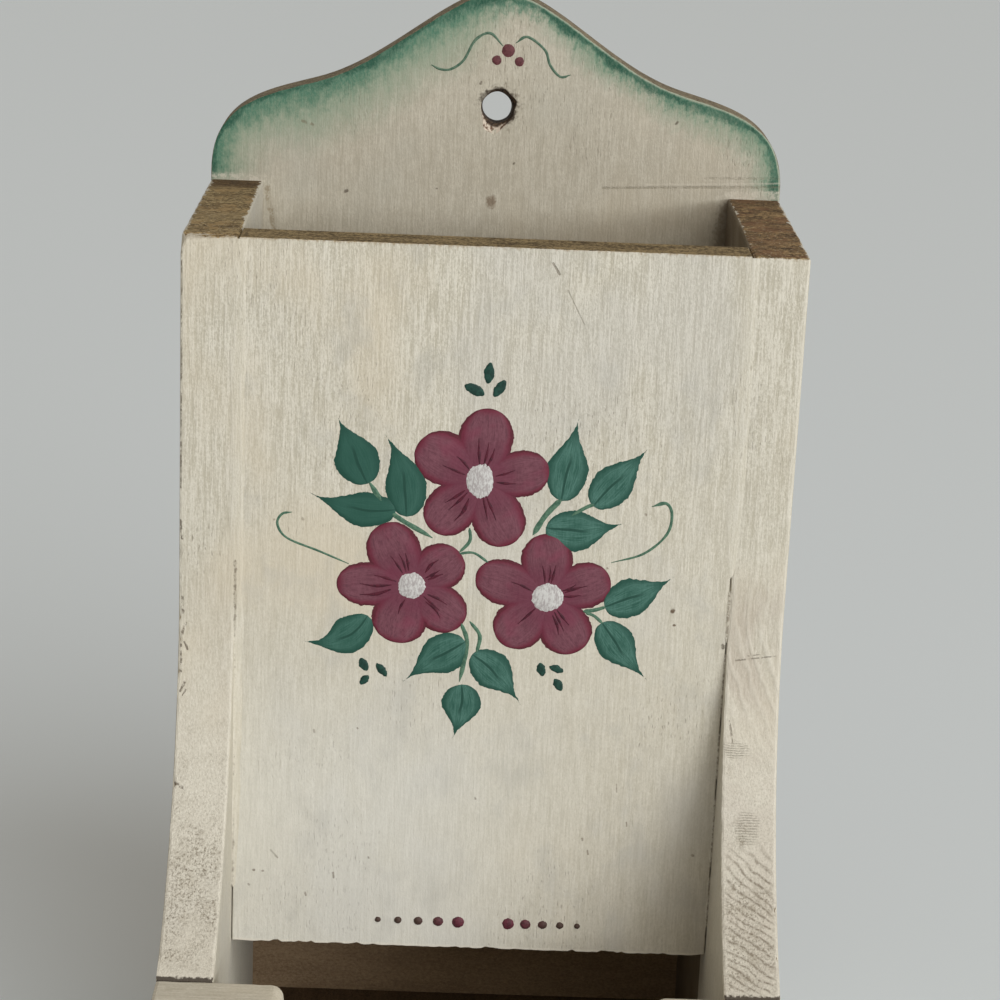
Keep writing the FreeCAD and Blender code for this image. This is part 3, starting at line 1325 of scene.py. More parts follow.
@dataclass
class BackBoard:
    """Full-height back with the crest and its chipped hanging hole."""

    sizes: HolderSizes
    ease: float = 0.32 * MM

    def build(self) -> Piece:
        """Saws the board.

        Returns:
            The board.
        """
        s = self.sizes
        half = s.crest_points(26)
        shoulder = half[0]
        foot = (-s.half_width, 0), (s.half_width, 0)
        outline = run(foot[0], foot[1], 3 * MM) + run(foot[1], shoulder, 2 * MM) + half
        outline += [(-x, z) for x, z in reversed(half[1:-1])]
        outline += run((-shoulder[0], shoulder[1]), foot[0], 2 * MM)
        sweep = Vector((0, s.wall_y - s.back_y, 0))
        board = cut_board("painted_back_board", [Vector((x, s.back_y, z)) for x, z in outline], sweep,
                          self.ease)
        wear_edges(board, sweep, 0.1 * MM, lambda normal, middle: normal.y > -0.9)
        carve(board, self.hole_cutter(sweep.y))
        carve(board, dimple_cutter(BradRows(s).back_spots(), Vector((0, 1, 0))))
        return board

    def hole_cutter(self, depth: float) -> Piece:
        """A rough drill: round, with a chipped mouth at the front.

        Args:
            depth: thickness of the board.

        Returns:
            The cutter.
        """
        s = self.sizes
        mouth = 1.0 * MM
        middle = Vector((0, s.back_y + depth / 2, s.side_top + s.hole_rise))
        bpy.ops.object.select_all(action="DESELECT")
        bpy.ops.mesh.primitive_cylinder_add(vertices=72, radius=s.hole_radius, depth=depth * 1.5,
                                            location=middle, rotation=(math.pi / 2, 0, 0))
        cutter = bpy.context.object
        bpy.ops.object.transform_apply(location=True, rotation=True, scale=True)
        bpy.ops.object.mode_set(mode="EDIT")
        for y in (s.back_y + mouth, s.back_y + 0.45 * MM, s.back_y - 0.05 * MM):
            bpy.ops.mesh.select_all(action="SELECT")
            bpy.ops.mesh.bisect(plane_co=(0, y, 0), plane_no=(0, 1, 0))
        bpy.ops.object.mode_set(mode="OBJECT")
        for vertex in cutter.data.vertices:
            out = Vector((vertex.co.x - middle.x, 0, vertex.co.z - middle.z))
            angle = math.atan2(out.z, out.x)
            around = [noise.noise(Vector((math.cos(angle), math.sin(angle), level)) * scale)
                      for level, scale in ((0.3, 3.6), (0.7, 5.2), (0.9, 1.7))]
            chip = sum(max(0.0, math.cos(angle - math.radians(turn))) ** 4 * size
                       for turn, size in ((80, 0.15), (40, 0.13), (5, 0.06), (315, 0.1)))
            chip *= 1 + 0.8 * around[0]
            low = max(0.0, math.cos(angle - math.radians(256))) ** 6 * 0.6
            low *= 1 + 0.5 * around[1]
            open_share = held((s.back_y + mouth - vertex.co.y) / mouth)
            inward = held((vertex.co.y - s.back_y) / depth)
            wobble = 1 + 0.025 * around[2]
            wobble -= 0.06 * max(0.0, math.sin(angle)) * math.sin(2 * angle) ** 2
            wobble -= 0.1 * inward
            wide = wobble + open_share * (0.02 + chip + low)
            vertex.co.x = middle.x - 0.3 * MM + out.x * wide
            vertex.co.z = middle.z - 0.3 * MM - 0.9 * MM * inward + out.z * wide
        return cutter

    def dress(self, board: Piece) -> None:
        """Paints the front, leaves the edge and the back as bare wood.

        Args:
            board: the board.
        """
        s = self.sizes
        top = s.side_top / MM
        front = s.back_y / MM
        rise = s.hole_rise / MM
        dark = paint(70, 54, 38)
        dull = paint(120, 108, 86)
        # Colour of the scribed lines, partly painted shade in their grooves.
        scribed = paint(120, 110, 90)
        pale = paint(212, 204, 187)

        def rim(turn: float) -> Point2:
            """Point beside the mouth of the hole."""
            angle = math.radians(turn)
            return 2.9 * math.cos(angle) - 0.3, rise - 0.3 + 2.9 * math.sin(angle)

        # Two scribed lines at the right of the crest, their dark tone partly painted shade in the grooves;
        # the pale line beside them is a painted highlight on the grooves.
        rows = ((18.5, 0.95, 49.0, 2.3, 0.3, scribed, 0.4, 0.5, 0.6),
                (36.0, 3.3, 49.0, 3.8, 0.26, scribed, 0.28, 0.3, 0.7),
                (26.0, 1.9, 49.0, 2.95, 0.2, pale, 0.45, 0.0, 0.5),
                (40.3, 0.5, 48.8, 0.9, 1.0, pale, 0.65, 0.0, 0.6),
                (-48.9, 0.5, -40.0, 0.4, 0.8, pale, 0.6, 0.0, 0.8),
                (-0.8, -2.0, -0.7, -2.3, 1.2, paint(104, 80, 54), 0.7),
                (-25.8, -1.3, -25.6, -1.2, 0.4, dark, 0.85),
                (0.2, rise, 0.3, rise, 3.9, paint(84, 70, 52), 0.7, 0.0, 0.3),
                *((*rim(turn), *rim(turn + 18), 0.55 + 0.3 * math.sin(turn * 0.11), paint(58, 47, 35), 0.85,
                   0.0, 0.4) for turn in range(-50, 140, 18)),
                (-3.3, rise + 3.6, -3.2, rise + 3.9, 0.3, dark, 0.7),
                (2.9, 4.6, 3.0, 4.7, 0.25, dark, 0.8),
                (30.4, 12.6, 30.6, 12.9, 0.3, dark, 0.75),
                (-33.5, 10.6, -32.9, 10.4, 0.3, dull, 0.6),
                (-31.9, 10.2, -31.6, 10.0, 0.25, dull, 0.55),
                (-10.2, -0.2, -10.1, -0.2, 0.22, dark, 0.7),
                (-39.4, -1.2, -37.9, -9.5, 0.62, paint(118, 98, 62), 0.5, 0.0, 0.65),
                # Dark brown streak down the right corner of the bay: painted shade in the corner beside the
                # right side.
                (39.9, -2.2, 39.2, -14.0, 1.8, paint(84, 65, 44), 0.5, 0.0, 0.2))
        cream = CrestPaint("crest_paint", light=paint(200, 193, 176), dark=paint(178, 170, 152),
                           marks=face_marks(front, top, rows), warm=paint(192, 180, 157),
                           cool=paint(182, 180, 167), wood_light=paint(146, 134, 110),
                           wood_dark=paint(96, 86, 68), slit_share=0.25, top_drag=-0.05, mottle=0.55)
        back = BareWood("back_wood", paint(190, 163, 123), paint(140, 111, 77), figure=0.7)
        wall = HoleWall("hole_wall")
        centre = Vector((0, 0, s.side_top + s.hole_rise))

        def choose(normal: Vector, middle: Vector) -> int:
            """Slot of a face.

            Args:
                normal: its normal.
                middle: its middle.

            Returns:
                Number of the slot.
            """
            away = (Vector((middle.x, 0, middle.z)) - centre).length
            if away < 4.6 * MM and -0.98 < normal.y < 0.5:
                return 2
            return 1 if normal.y > 0.9 else 0

        dress(board, [cream.build(s), back.build(), wall.build(s)], choose)


@dataclass
class SideBoard:
    """Side board with its straight upper edge and flared lower edge."""

    sizes: HolderSizes
    hand: Hand
    ease: float = 0.45 * MM
    combs: Tuple[Tuple[float, ...], ...] = ((44.2, 69.0, 2.6, 2.9), (42.2, 80.0, 2.7, 1.7))

    def build(self) -> Piece:
        """Saws the board.

        Returns:
            The board.
        """
        s = self.sizes
        steps = 64
        levels = [s.lip_top + (s.flare_top - s.lip_top) * i / steps for i in range(steps)]
        flare = [(s.flare_y(z), z) for z in levels]
        foot = (s.back_y, 0), (s.lip_back_y, 0)
        top = (s.panel_front_y, s.side_top), (s.back_y, s.side_top)
        outline = run(foot[0], foot[1], 3 * MM) + run(foot[1], flare[0], 2 * MM) + flare
        outline += run((s.panel_front_y, s.flare_top), top[0], 1 * MM)
        outline += run(top[0], top[1], 1.2 * MM) + run(top[1], foot[0], 3 * MM)
        start = -s.half_width if self.hand is Hand.LEFT else s.inner_half_width
        sweep = Vector((s.half_width - s.inner_half_width, 0, 0))
        name = "painted_" + self.hand.name.lower() + "_side"
        board = cut_board(name, [Vector((start, y, z)) for y, z in outline], sweep, self.ease)
        wear_edges(board, sweep, 0.1 * MM, self.is_bare, self.chips())
        if self.hand is Hand.LEFT:
            self.knock_corner(board)
        carve(board, dimple_cutter(self.brad_spots(), Vector((self.hand.value, 0, 0))))
        return board

    def knock_corner(self, board: Piece, reach: float = 2.6 * MM, depth: float = 1.0 * MM) -> None:
        """Rounds off the outer front corner of the top, which has been knocked.

        Args:
            board: the board.
            reach: how far from the corner the wood is gone.
            depth: how much is gone at the corner.
        """
        s = self.sizes
        corner = Vector((self.hand.value * s.half_width, s.panel_front_y, s.side_top))
        inward = Vector((-self.hand.value, 0.5, -1.0)).normalized()
        for vertex in board.data.vertices:
            hit = max(0.0, 1 - (vertex.co - corner).length / reach)
            vertex.co += inward * depth * hit ** 1.3

    def chips(self) -> List[Tuple[Vector, float]]:
        """Chipped places on the outer front edge, more of them on the left board.

        Returns:
            Middles and radii.
        """
        s = self.sizes
        spots = {Hand.LEFT: ((72.5, 1.4), (98.3, 0.9), (94.7, 1.1), (89.6, 0.8)),
                 Hand.RIGHT: ((58.5, 1.2), (53, 1.1), (71, 0.8))}
        return [(Vector((self.hand.value * s.half_width, s.flare_y(z * MM), z * MM)), r * MM)
                for z, r in spots[self.hand]]

    def scars_and_edge_shade(self) -> Tuple[Mark, ...]:
        """Dark marks along the outer front edge of the left board, one long line of them partly painted
        shade, and one crack across the right one.

        Returns:
            The marks.
        """
        s = self.sizes
        dark = paint(78, 62, 44)
        if self.hand is Hand.RIGHT:
            lines = ((41.2, 94.2, 48.0, 95.2, 0.14), (43.2, 95.0, 45.6, 95.4, 0.1),
                     (41.0, 84.5, 41.6, 81.0, 0.2))
        else:
            lines = ((-48.5, 101.5, -48.3, 98.6, 0.3), (-47.9, 97.2, -48.4, 95.4, 0.26),
                     (-48.6, 93.6, -48.5, 89.2, 0.24), (-47.8, 87.6, -48.5, 86.2, 0.24),
                     (-47.6, 86.4, -48.2, 85.2, 0.2), (-49.0, 72.7, -46.9, 71.6, 0.3),
                     # The long line down from the top of the outer edge is partly dirt, partly painted
                     # shade of the edge turned from the light.
                     (-48.3, 94.6, -47.5, 92.9, 0.2), (-48.95, 160.0, -48.9, 120.0, 0.3),
                     (-48.9, 114.5, -48.6, 111.5, 0.3), (-48.7, 160.0, -47.7, 160.8, 0.45))
        share = 0.45 if self.hand is Hand.RIGHT else 0.7
        return tuple(Mark((x0, s.flare_y(z0 * MM) / MM, z0), (x1, s.flare_y(z1 * MM) / MM, z1), width,
                          dark, share, 0.8, 0.95) for x0, z0, x1, z1, width in lines)

    def brad_spots(self) -> List[Vector]:
        """Ends of the brads driven through this board into the panel and the floor."""
        brads = BradRows(self.sizes)
        return brads.panel_spots(self.hand) + brads.floor_spots(self.hand)

    def is_bare(self, normal: Vector, middle: Vector) -> bool:
        """Whether a face is bare wood: the top, the bottom and the back edge."""
        high = middle.z > self.sizes.side_top - 0.5 * MM
        return abs(normal.x) < 0.5 and (normal.y > 0.5 or high or normal.z < -0.5)

    def dress(self, board: Piece) -> None:
        """Paints the faces and the sawn front edge.

        Args:
            board: the board.
        """
        s = self.sizes
        left = self.hand is Hand.LEFT
        # Only the right board's inner face, turned from the light, gets painted shade in the bay.
        faces = SidePaint(self.hand.name.lower() + "_side_paint", bare_inside=False, bite=1.0,
                          wood_light=paint(174, 153, 111) if left else paint(166, 138, 97),
                          wood_dark=paint(84, 66, 41) if left else paint(70, 52, 33),
                          tint=paint(160, 134, 92) if left else paint(116, 80, 56),
                          sheen=paint(150, 132, 96) if left else paint(122, 92, 64),
                          rear_share=0.85 if left else 0.4, bay_shade=0.0 if left else 0.92)
        edge = FlareEdge(self.hand.name.lower() + "_flare_paint", speck=0.7, pore=paint(94, 80, 59),
                         bare_inside=False, bite=1.0, marks=self.scars_and_edge_shade(), rubbed_top=0.5,
                         smudge_share=0.2 if left else 0.3, flush_share=0.1 if left else 0.42,
                         ring_gap=1.05, ring_share=0.0 if left else 0.75,
                         ring_lean=(-0.7, 0.7) if left else (0.46, 0.888), saw_share=0.0 if left else 0.55,
                         combs=() if left else self.combs, pore_share=0.66 if left else 0.6,
                         dirt_height=59.0 if left else 56.0)

        def choose(normal: Vector, middle: Vector) -> int:
            """Slot of a face."""
            return 1 if abs(normal.x) < 0.8 and normal.y < -0.1 else 0

        dress(board, [faces.build(s), edge.build(s)], choose)


@dataclass
class FrontPanel:
    """Front of the bay, with its torn lower edge and the filler along its joints."""

    sizes: HolderSizes
    ease: float = 0.18 * MM
    specks: Tuple[Tuple[float, ...], ...] = (
        (-26.8, 81.8, 0.4, 0.22), (-19.7, 81.2, 0.1, 0.2), (-23.1, 107.4, 0.9, 0.24),
        (-27.7, 111.2, 0.5, 0.22), (-17.3, 104.3, 0.2, 0.18), (0.1, 92.9, 0.2, 0.2),
        (18.2, 99.6, 0.3, 0.24), (19.2, 101.8, 0.6, 0.22), (25.4, 96.4, 0.7, 0.16),
        (36.7, 101.9, 0.1, 0.3), (23.4, 89.6, 1.4, 0.14), (25.6, 42.6, 0.1, 0.26),
        (-29.3, 45.4, 0.2, 0.26), (19.9, 51.9, 0.1, 0.2))

    def build(self) -> Piece:
        """Saws the panel.

        Returns:
            The panel.
        """
        s = self.sizes
        reach = s.panel_reach
        low = (-reach, s.panel_bottom), (reach, s.panel_bottom)
        top = (reach, s.side_top), (-reach, s.side_top)
        outline = run(low[0], low[1], 0.7 * MM) + run(low[1], top[0], 2 * MM)
        outline += run(top[0], top[1], 0.9 * MM) + run(top[1], low[0], 2 * MM)
        sweep = Vector((0, s.panel_back_y - s.panel_front_y, 0))
        panel = cut_board("painted_front_panel", [Vector((x, s.panel_front_y, z)) for x, z in outline],
                          sweep, self.ease)
        wear_edges(panel, sweep, 0.06 * MM, lambda normal, middle: abs(normal.z) > 0.5)
        for vertex in panel.data.vertices:
            if vertex.co.z < s.panel_bottom + 1 * MM:
                torn = noise.noise(Vector((vertex.co.x * 700, vertex.co.y * 300, 4.0)))
                torn += 0.5 * noise.noise(Vector((vertex.co.x * 1700, vertex.co.y * 300, 9.0)))
                vertex.co.z += max(0.0, torn) * 0.5 * MM
        return panel

    def dress(self, panel: Piece) -> None:
        """Paints the panel.

        Args:
            panel: the panel.
        """
        s = self.sizes
        top = s.side_top / MM
        front = s.panel_front_y / MM
        brown = paint(84, 62, 40)
        rows = ((30.8, -58.9, 30.9, -58.8, 0.5, brown, 0.9),
                (31.2, -61.3, 31.3, -61.3, 0.26, brown, 0.85),
                (8.9, -2.3, 10.0, -4.0, 0.26, paint(96, 82, 62), 0.7, 0.8),
                (11.4, -6.5, 14.2, -11.8, 0.13, paint(150, 142, 124), 0.6, 0.6),
                (-33.6, -103.6, -32.4, -105.0, 0.2, paint(120, 112, 96), 0.6),
                (-36.4, -107.4, -36.3, -107.4, 0.26, brown, 0.7),
                (-34.9, -107.5, -34.8, -107.5, 0.22, brown, 0.7),
                (-37.2, -110.0, -37.1, -110.1, 0.26, brown, 0.6),
                *((x, -down, x + 0.1, -down - length, width, brown, 0.55)
                  for x, down, length, width in self.specks),
                # Dark line down the right joint: painted shade in the open crack and from the flare beside
                # it.
                (39.95, -52.0, 39.95, -76.0, 0.22, paint(92, 78, 58), 0.5, 0.0, 0.8),
                (39.95, -74.0, 39.95, -120.0, 0.24, paint(72, 60, 44), 0.6, 0.0, 0.8),
                (39.4, -64.5, 39.45, -64.9, 0.4, paint(66, 54, 38), 0.75))
        cream = PanelPaint("panel_paint", bite=1.0, marks=face_marks(front, top, rows), rubbed_top=0.6,
                           low_drag=0.58, wood_light=paint(158, 138, 100), wood_dark=paint(78, 63, 41))
        dress(panel, [cream.build(s)])


@dataclass
class TrayLip:
    """Front board of the tray with its finger scoop."""

    sizes: HolderSizes
    ease: float = 0.6 * MM

    def build(self) -> Piece:
        """Saws the lip.

        Returns:
            The lip.
        """
        s = self.sizes
        radius, ease = s.scoop_radius, s.scoop_ease
        corner = math.sqrt((radius + ease) ** 2 - ease ** 2)
        turn = math.atan2(corner, ease)
        right = [(corner - ease * math.sin(turn * i / 6), s.lip_top - ease * (1 - math.cos(turn * i / 6)))
                 for i in range(6)]
        fall = math.asin(ease / (radius + ease))
        steps = 60
        scoop = []
        for i in range(steps + 1):
            angle = -fall - (math.pi - 2 * fall) * i / steps
            scoop.append((radius * math.cos(angle), s.lip_top + radius * math.sin(angle)))
        ends = (-s.half_width, 0), (s.half_width, 0), (s.half_width, s.lip_top), (-s.half_width, s.lip_top)
        outline = run(ends[0], ends[1], 3 * MM) + run(ends[1], ends[2], 2 * MM)
        outline += run(ends[2], (corner, s.lip_top), 1.5 * MM) + right + scoop
        outline += [(-x, z) for x, z in reversed(right[1:])]
        outline += run((-corner, s.lip_top), ends[3], 1.5 * MM) + run(ends[3], ends[0], 2 * MM)
        sweep = Vector((0, s.lip_back_y - s.lip_front_y, 0))
        lip = cut_board("painted_tray_lip", [Vector((x, s.lip_front_y, z)) for x, z in outline], sweep,
                        self.ease)
        wear_edges(lip, sweep, 0.1 * MM, lambda normal, middle: normal.z < -0.5 and middle.z < 1 * MM)
        carve(lip, dimple_cutter(BradRows(s).lip_spots(), Vector((0, -1, 0))))
        return lip

    def dress(self, lip: Piece) -> None:
        """Paints the lip, brushed along its length.

        Args:
            lip: the lip.
        """
        s = self.sizes
        back, top = s.lip_back_y / MM, s.lip_top / MM
        # Dark line along the back of the lip's top under each side's foot: painted shade in the crack at
        # the joint.
        marks = tuple(Mark((side * s.half_width / MM, back - 0.1, top - 0.2),
                           (side * s.inner_half_width / MM, back - 0.1, top - 0.2), 0.3, paint(52, 39, 26),
                           0.85, 0.0, 0.6) for side in (-1, 1))
        dress(lip, [PaintedWood("lip_paint", grain=Grain.ACROSS, marks=marks).build(s)])


@dataclass
class TrayFloor:
    """Bare floor of the tray."""

    sizes: HolderSizes
    ease: float = 0.3 * MM

    def build(self) -> Piece:
        """Saws the floor.

        Returns:
            The floor.
        """
        s = self.sizes
        reach = s.panel_reach
        corners = (-reach, s.lip_back_y), (reach, s.lip_back_y), (reach, s.back_y), (-reach, s.back_y)
        outline = []
        for start, end in zip(corners, corners[1:] + corners[:1]):
            outline += run(start, end, 3 * MM)
        sweep = Vector((0, 0, s.floor_top))
        floor = cut_board("bare_tray_floor", [Vector((x, y, 0)) for x, y in outline], sweep, self.ease)
        wear_edges(floor, sweep, 0.06 * MM, lambda normal, middle: True)
        return floor

    def dress(self, floor: Piece) -> None:
        """Leaves the floor bare."""
        dress(floor, [BareWood("tray_wood", paint(104, 82, 58), paint(62, 47, 32), Grain.DEEP).build()])


@dataclass
class JointFiller:
    """Filler smoothed over the joints between the panel and the sides."""

    sizes: HolderSizes
    hand: Hand

    def build(self) -> Piece:
        """Draws the filler down the joint.

        Returns:
            The filler.
        """
        s = self.sizes
        end = (50 if self.hand is Hand.LEFT else 108) * MM
        start = s.side_top - 0.25 * MM
        joint = self.hand.value * (s.inner_half_width - 0.12 * MM)
        brush = FilmBrush(s.panel_front_y)

        def shape(u: float, v: float) -> Point3:
            """Place and lift of a point of the filler.

            Args:
                u: share along it.
                v: share across it.

            Returns:
                X, Z and lift.
            """
            z = start + (end - start) * u
            lump = noise.noise(Vector((self.hand.value * 3.0, 0.0, z * 160)))
            taper = min(1.0, (1 - u) * 6) ** 0.5
            half = (1.2 + 0.3 * lump) * MM * taper
            drift = 0.25 * MM * noise.noise(Vector((self.hand.value * 5.0, 2.0, z * 90)))
            across = 2 * v - 1
            flat = (1 - abs(across) ** 3) * (0.1 + 0.05 * lump)
            hollow = 0.9 * max(0.0, 0.62 + 0.5 * self.hand.value * across) ** 2
            foot = held((s.flare_top - 3 * MM - z) / (12 * MM))
            lift = (flat + (hollow - flat) * foot) * MM * taper - 0.03 * MM
            return joint + drift + half * across, z, lift

        films = [brush.lay(90, 9, shape)]
        if self.hand is Hand.RIGHT:
            for high, low in ((106, 97), (95, 84), (81, 73), (70, 57), (55, 46)):
                drawn = [(joint, high * MM), (joint, (high + low) / 2 * MM), (joint, low * MM)]
                films.append(brush.line(drawn, 0.24 * MM, 0.3 * MM, 0.08 * MM))
        return brush.finish(films, self.hand.name.lower() + "_joint_filler")

    def dress(self, filler: Piece) -> None:
        """Paints the filler with the panel's cream, with a line of painted shade along the open joint.

        Args:
            filler: the filler.
        """
        s = self.sizes
        name = self.hand.name.lower() + "_filler_paint"
        joint = self.hand.value * (s.inner_half_width / MM - 0.06)
        front = s.panel_front_y / MM
        # Soft dark line along the open joint: painted shade.
        line = Mark((joint, front, 108), (joint, front, 44), 0.34, paint(86, 72, 54), 0.65, 0.0, 0.6)
        dress(filler, [PaintedWood(name, dark=paint(194, 187, 169), speck=0.3, marks=(line,)).build(s)])


@dataclass
class FilmBrush:
    """Lays thick strokes of paint on an upright face."""

    ground: float
    film: float = 0.06 * MM

    def lay(self, columns: int, rows: int, shape: Callable[[float, float], Point3]) -> Piece:
        """Lays one stroke.

        Args:
            columns: points along the stroke.
            rows: points across it.
            shape: gives x, z and lift from the shares along and across.

        Returns:
            The stroke as an open film.
        """
        bpy.ops.object.select_all(action="DESELECT")
        bpy.ops.mesh.primitive_grid_add(x_subdivisions=columns, y_subdivisions=rows, size=MM,
                                        location=(0, 0, 0), rotation=(0, 0, 0))
        stroke = bpy.context.object
        for vertex in stroke.data.vertices:
            x, z, lift = shape(*(held(part / MM + 0.5) for part in vertex.co[:2]))
            vertex.co = (x, self.ground - lift, z)
        return stroke

    def dab(self, middle: Point2, radii: Point2, height: float, seed: float, rings: int = 3) -> Piece:
        """Lays one round dab.

        Args:
            middle: its place (x, z).
            radii: its half width and half height.
            height: its lift in the middle.
            seed: number that makes its outline its own.
            rings: cuts that make it fine.

        Returns:
            The dab as an open film.
        """
        bpy.ops.object.select_all(action="DESELECT")
        bpy.ops.mesh.primitive_circle_add(vertices=24, radius=MM, fill_type="TRIFAN")
        stroke = bpy.context.object
        rework(bpy.ops.mesh.subdivide, number_cuts=rings)
        for vertex in stroke.data.vertices:
            flat = Vector((vertex.co.x, vertex.co.y)) / MM
            away = min(1.0, flat.length)
            wobble = 1 + 0.09 * noise.noise(Vector((flat.x * 1.3, flat.y * 1.3, seed)))
            wobble += 0.1 * away * noise.noise(Vector((flat.x * 7, flat.y * 7, seed + 2)))
            bumps = 0.14 * noise.noise(Vector((flat.x * 7, flat.y * 7, seed + 5)))
            lift = height * ((1 - away ** 2) ** 0.6 * (1 + bumps)) - self.film / 2
            vertex.co = (middle[0] + flat.x * radii[0] * wobble, self.ground - lift,
                         middle[1] + flat.y * radii[1] * wobble)
        return stroke

    def fray(self, place: Vector, across: float) -> float:
        """How far the bristles pull the edge of a stroke in or out.

        Args:
            place: point of the stroke's middle line.
            across: share across the stroke, from -1 to 1.

        Returns:
            Change of the half width.
        """
        spot = Vector((place.x, place.y, 0.002 * (across > 0)))
        return 0.17 * MM * abs(across) * (noise.noise(spot * 1500) + 0.6 * noise.noise(spot * 3400))

    def line(self, points: Sequence[Point2], start: float, end: float, height: float, taper: float = 0.12
             ) -> Piece:
        """Draws a thin line with the tip of the brush.

        Args:
            points: points (x, z) that it passes.
            start: half width where it starts.
            end: half width where it ends.
            height: its lift.
            taper: share of its length that it thins over at each end.

        Returns:
            The line as an open film.
        """
        columns = 8 * len(points) + 1
        path = smooth_path(points, columns)

        def shape(u: float, v: float) -> Point3:
            """Place and lift of a point of the line.

            Args:
                u: share along it.
                v: share across it.

            Returns:
                X, Z and lift.
            """
            place, lead = path[round(u * (columns - 1))]
            half = (start + (end - start) * u) * min(1.0, u / taper + 0.15, (1 - u) / taper + 0.1)
            half *= 1 + 0.22 * noise.noise(Vector((place.x * 900, place.y * 900, 1.5)))
            across = 2 * v - 1
            return (place.x - lead.y * half * across, place.y + lead.x * half * across,
                    height * (1 - across ** 2) - self.film / 3)

        return self.lay(columns, 5, shape)

    def leaf(self, base: Point2, body: Point2, tip: Point2, half_width: float, height: float,
             almond: bool = False) -> Piece:
        """Paints a pointed leaf.

        Args:
            base: where its stalk ends.
            body: middle of its blade.
            tip: its tip.
            half_width: half of its greatest width.
            height: its lift.
            almond: whether it is a plain almond dab.

        Returns:
            The leaf as an open film.
        """
        start, chord = Vector(base), Vector(tip) - Vector(base)
        beside = Vector((-chord.y, chord.x)).normalized()
        share_along = (Vector(body) - start).dot(chord) / chord.length_squared
        bow = (Vector(body) - start).dot(beside) / (share_along * (1 - share_along))
        widest = 0.36

        def shape(u: float, v: float) -> Point3:
            """Place and lift of a point of the leaf.

            Args:
                u: share along it.
                v: share across it.

            Returns:
                X, Z and lift.
            """
            place = start + chord * u + beside * (bow * u * (1 - u))
            lead = (chord + beside * (bow * (1 - 2 * u))).normalized()
            if almond:
                share = math.sin(math.pi * u) ** 0.62
            elif u < widest:
                share = math.sqrt(max(0.0, 1 - ((widest - u) / widest) ** 2))
            else:
                share = (0.5 + 0.5 * math.cos(math.pi * ((u - widest) / (1 - widest)) ** 0.92)) ** 1.15
            across = 2 * v - 1
            wave = noise.noise(Vector((tip[0] * 900, u * 2.5, across * 1.5)))
            half = half_width * share * (1 + 0.1 * wave) + self.fray(place, across)
            lift = height * (1 - across ** 4) * min(1.0, share * 2) - self.film / 2
            return place.x - lead.y * half * across, place.y + lead.x * half * across, lift

        return self.lay(60, 15, shape)

    def petal(self, centre: Point2, angle: float, reach: float, half_width: float, height: float) -> Piece:
        """Paints a round petal.

        Args:
            centre: middle of the flower.
            angle: direction of the petal.
            reach: distance from the middle to its end.
            half_width: half of its greatest width.
            height: its lift.

        Returns:
            The petal as an open film.
        """
        out = Vector((math.cos(angle), math.sin(angle)))
        side = Vector((-out.y, out.x))
        widest = 0.6 * reach

        def shape(u: float, v: float) -> Point3:
            """Place and lift of a point of the petal.

            Args:
                u: share along it.
                v: share across it.

            Returns:
                X, Z and lift.
            """
            away = reach * (0.08 + 0.92 * math.sin(u * math.pi / 2))
            if away > widest:
                share = math.sqrt(max(0.0, 1 - ((away - widest) / (reach - widest)) ** 2))
            else:
                share = 0.3 + 0.7 * math.sin(away / widest * math.pi / 2)
            across = 2 * v - 1
            wave = noise.noise(Vector((angle * 3 + centre[0] * 70, u * 2, across * 1.5)))
            half = half_width * share * (1 + 0.05 * wave) + self.fray(Vector(centre) + out * away, across)
            lift = height * (1 - abs(across) ** 2.5) * min(1.0, share * 1.6) - self.film / 2
            place = Vector(centre) + out * away + side * half * across
            return place.x, place.y, lift

        return self.lay(52, 17, shape)

    def finish(self, strokes: Sequence[Piece], name: str) -> Piece:
        """Joins strokes of one colour and closes their undersides.

        Args:
            strokes: the strokes.
            name: name of the piece.

        Returns:
            The piece.
        """
        piece = join_up(strokes, name)
        rework(bpy.ops.mesh.remove_doubles, threshold=0.002 * MM)
        back = piece.modifiers.new("film", "SOLIDIFY")
        back.thickness = self.film
        back.offset = 0.0
        bpy.ops.object.modifier_apply(modifier=back.name)
        rework(bpy.ops.mesh.normals_make_consistent, inside=False)
        bpy.ops.object.shade_smooth_by_angle(angle=math.radians(60))
        return piece


@dataclass(frozen=True)
class PetalPaint:
    """Raspberry paint, darker at the rim of each petal."""

    body: Colour = paint(121, 73, 84)
    shade: Colour = paint(93, 49, 60)
    bright: Colour = paint(124, 50, 72)
    rim: Colour = paint(102, 24, 46)
    outline: Colour = paint(78, 24, 34)

    def build(self) -> Finish:
        """Makes the material.

        Returns:
            The material.
        """
        desk = FinishDesk("petal_paint")
        spread = desk.out("TexCoord", "UV")
        spot = desk.axes(spread)
        drawn = desk.noise((5, 26, 1), 3, 0.6, place=spread)
        strokes = desk.group("brush_strokes")
        mix = drawn * 0.45 + strokes["Tone"] * 0.3
        tooth = desk.noise((2400, 2400, 2400), 2, 0.7, shift=7.3)
        mix = mix + tooth * 0.25
        colour = desk.blend(desk.ease(mix, 0.36, 0.64), self.shade, self.body)
        fresh = desk.ease(desk.noise((170, 170, 170), 2, 0.6, shift=2.4), 0.5, 0.68, 0.0, 0.45)
        colour = desk.blend(fresh, colour, self.bright)
        across = abs(spot["Y"] - 0.5) * 2.0
        ragged = (drawn - 0.5) * 0.3
        near = desk.calc("MAXIMUM", desk.ease(across + ragged, 0.64, 0.92),
                         desk.ease(spot["X"] + ragged * 0.6, 0.64, 0.87))
        colour = desk.blend(near * 0.9, colour, self.rim)
        line = desk.calc("MAXIMUM", desk.ease(across + ragged, 0.83, 0.95),
                         desk.ease(spot["X"] + ragged * 0.4, 0.83, 0.93))
        colour = desk.blend(line * 0.9, colour, self.outline)
        heart = desk.ease(spot["X"], 0.42, 0.12, 0.0, 0.55)
        colour = desk.blend(heart, colour, paint(100, 38, 58))
        return desk.film(colour, mix, 0.08 * MM)


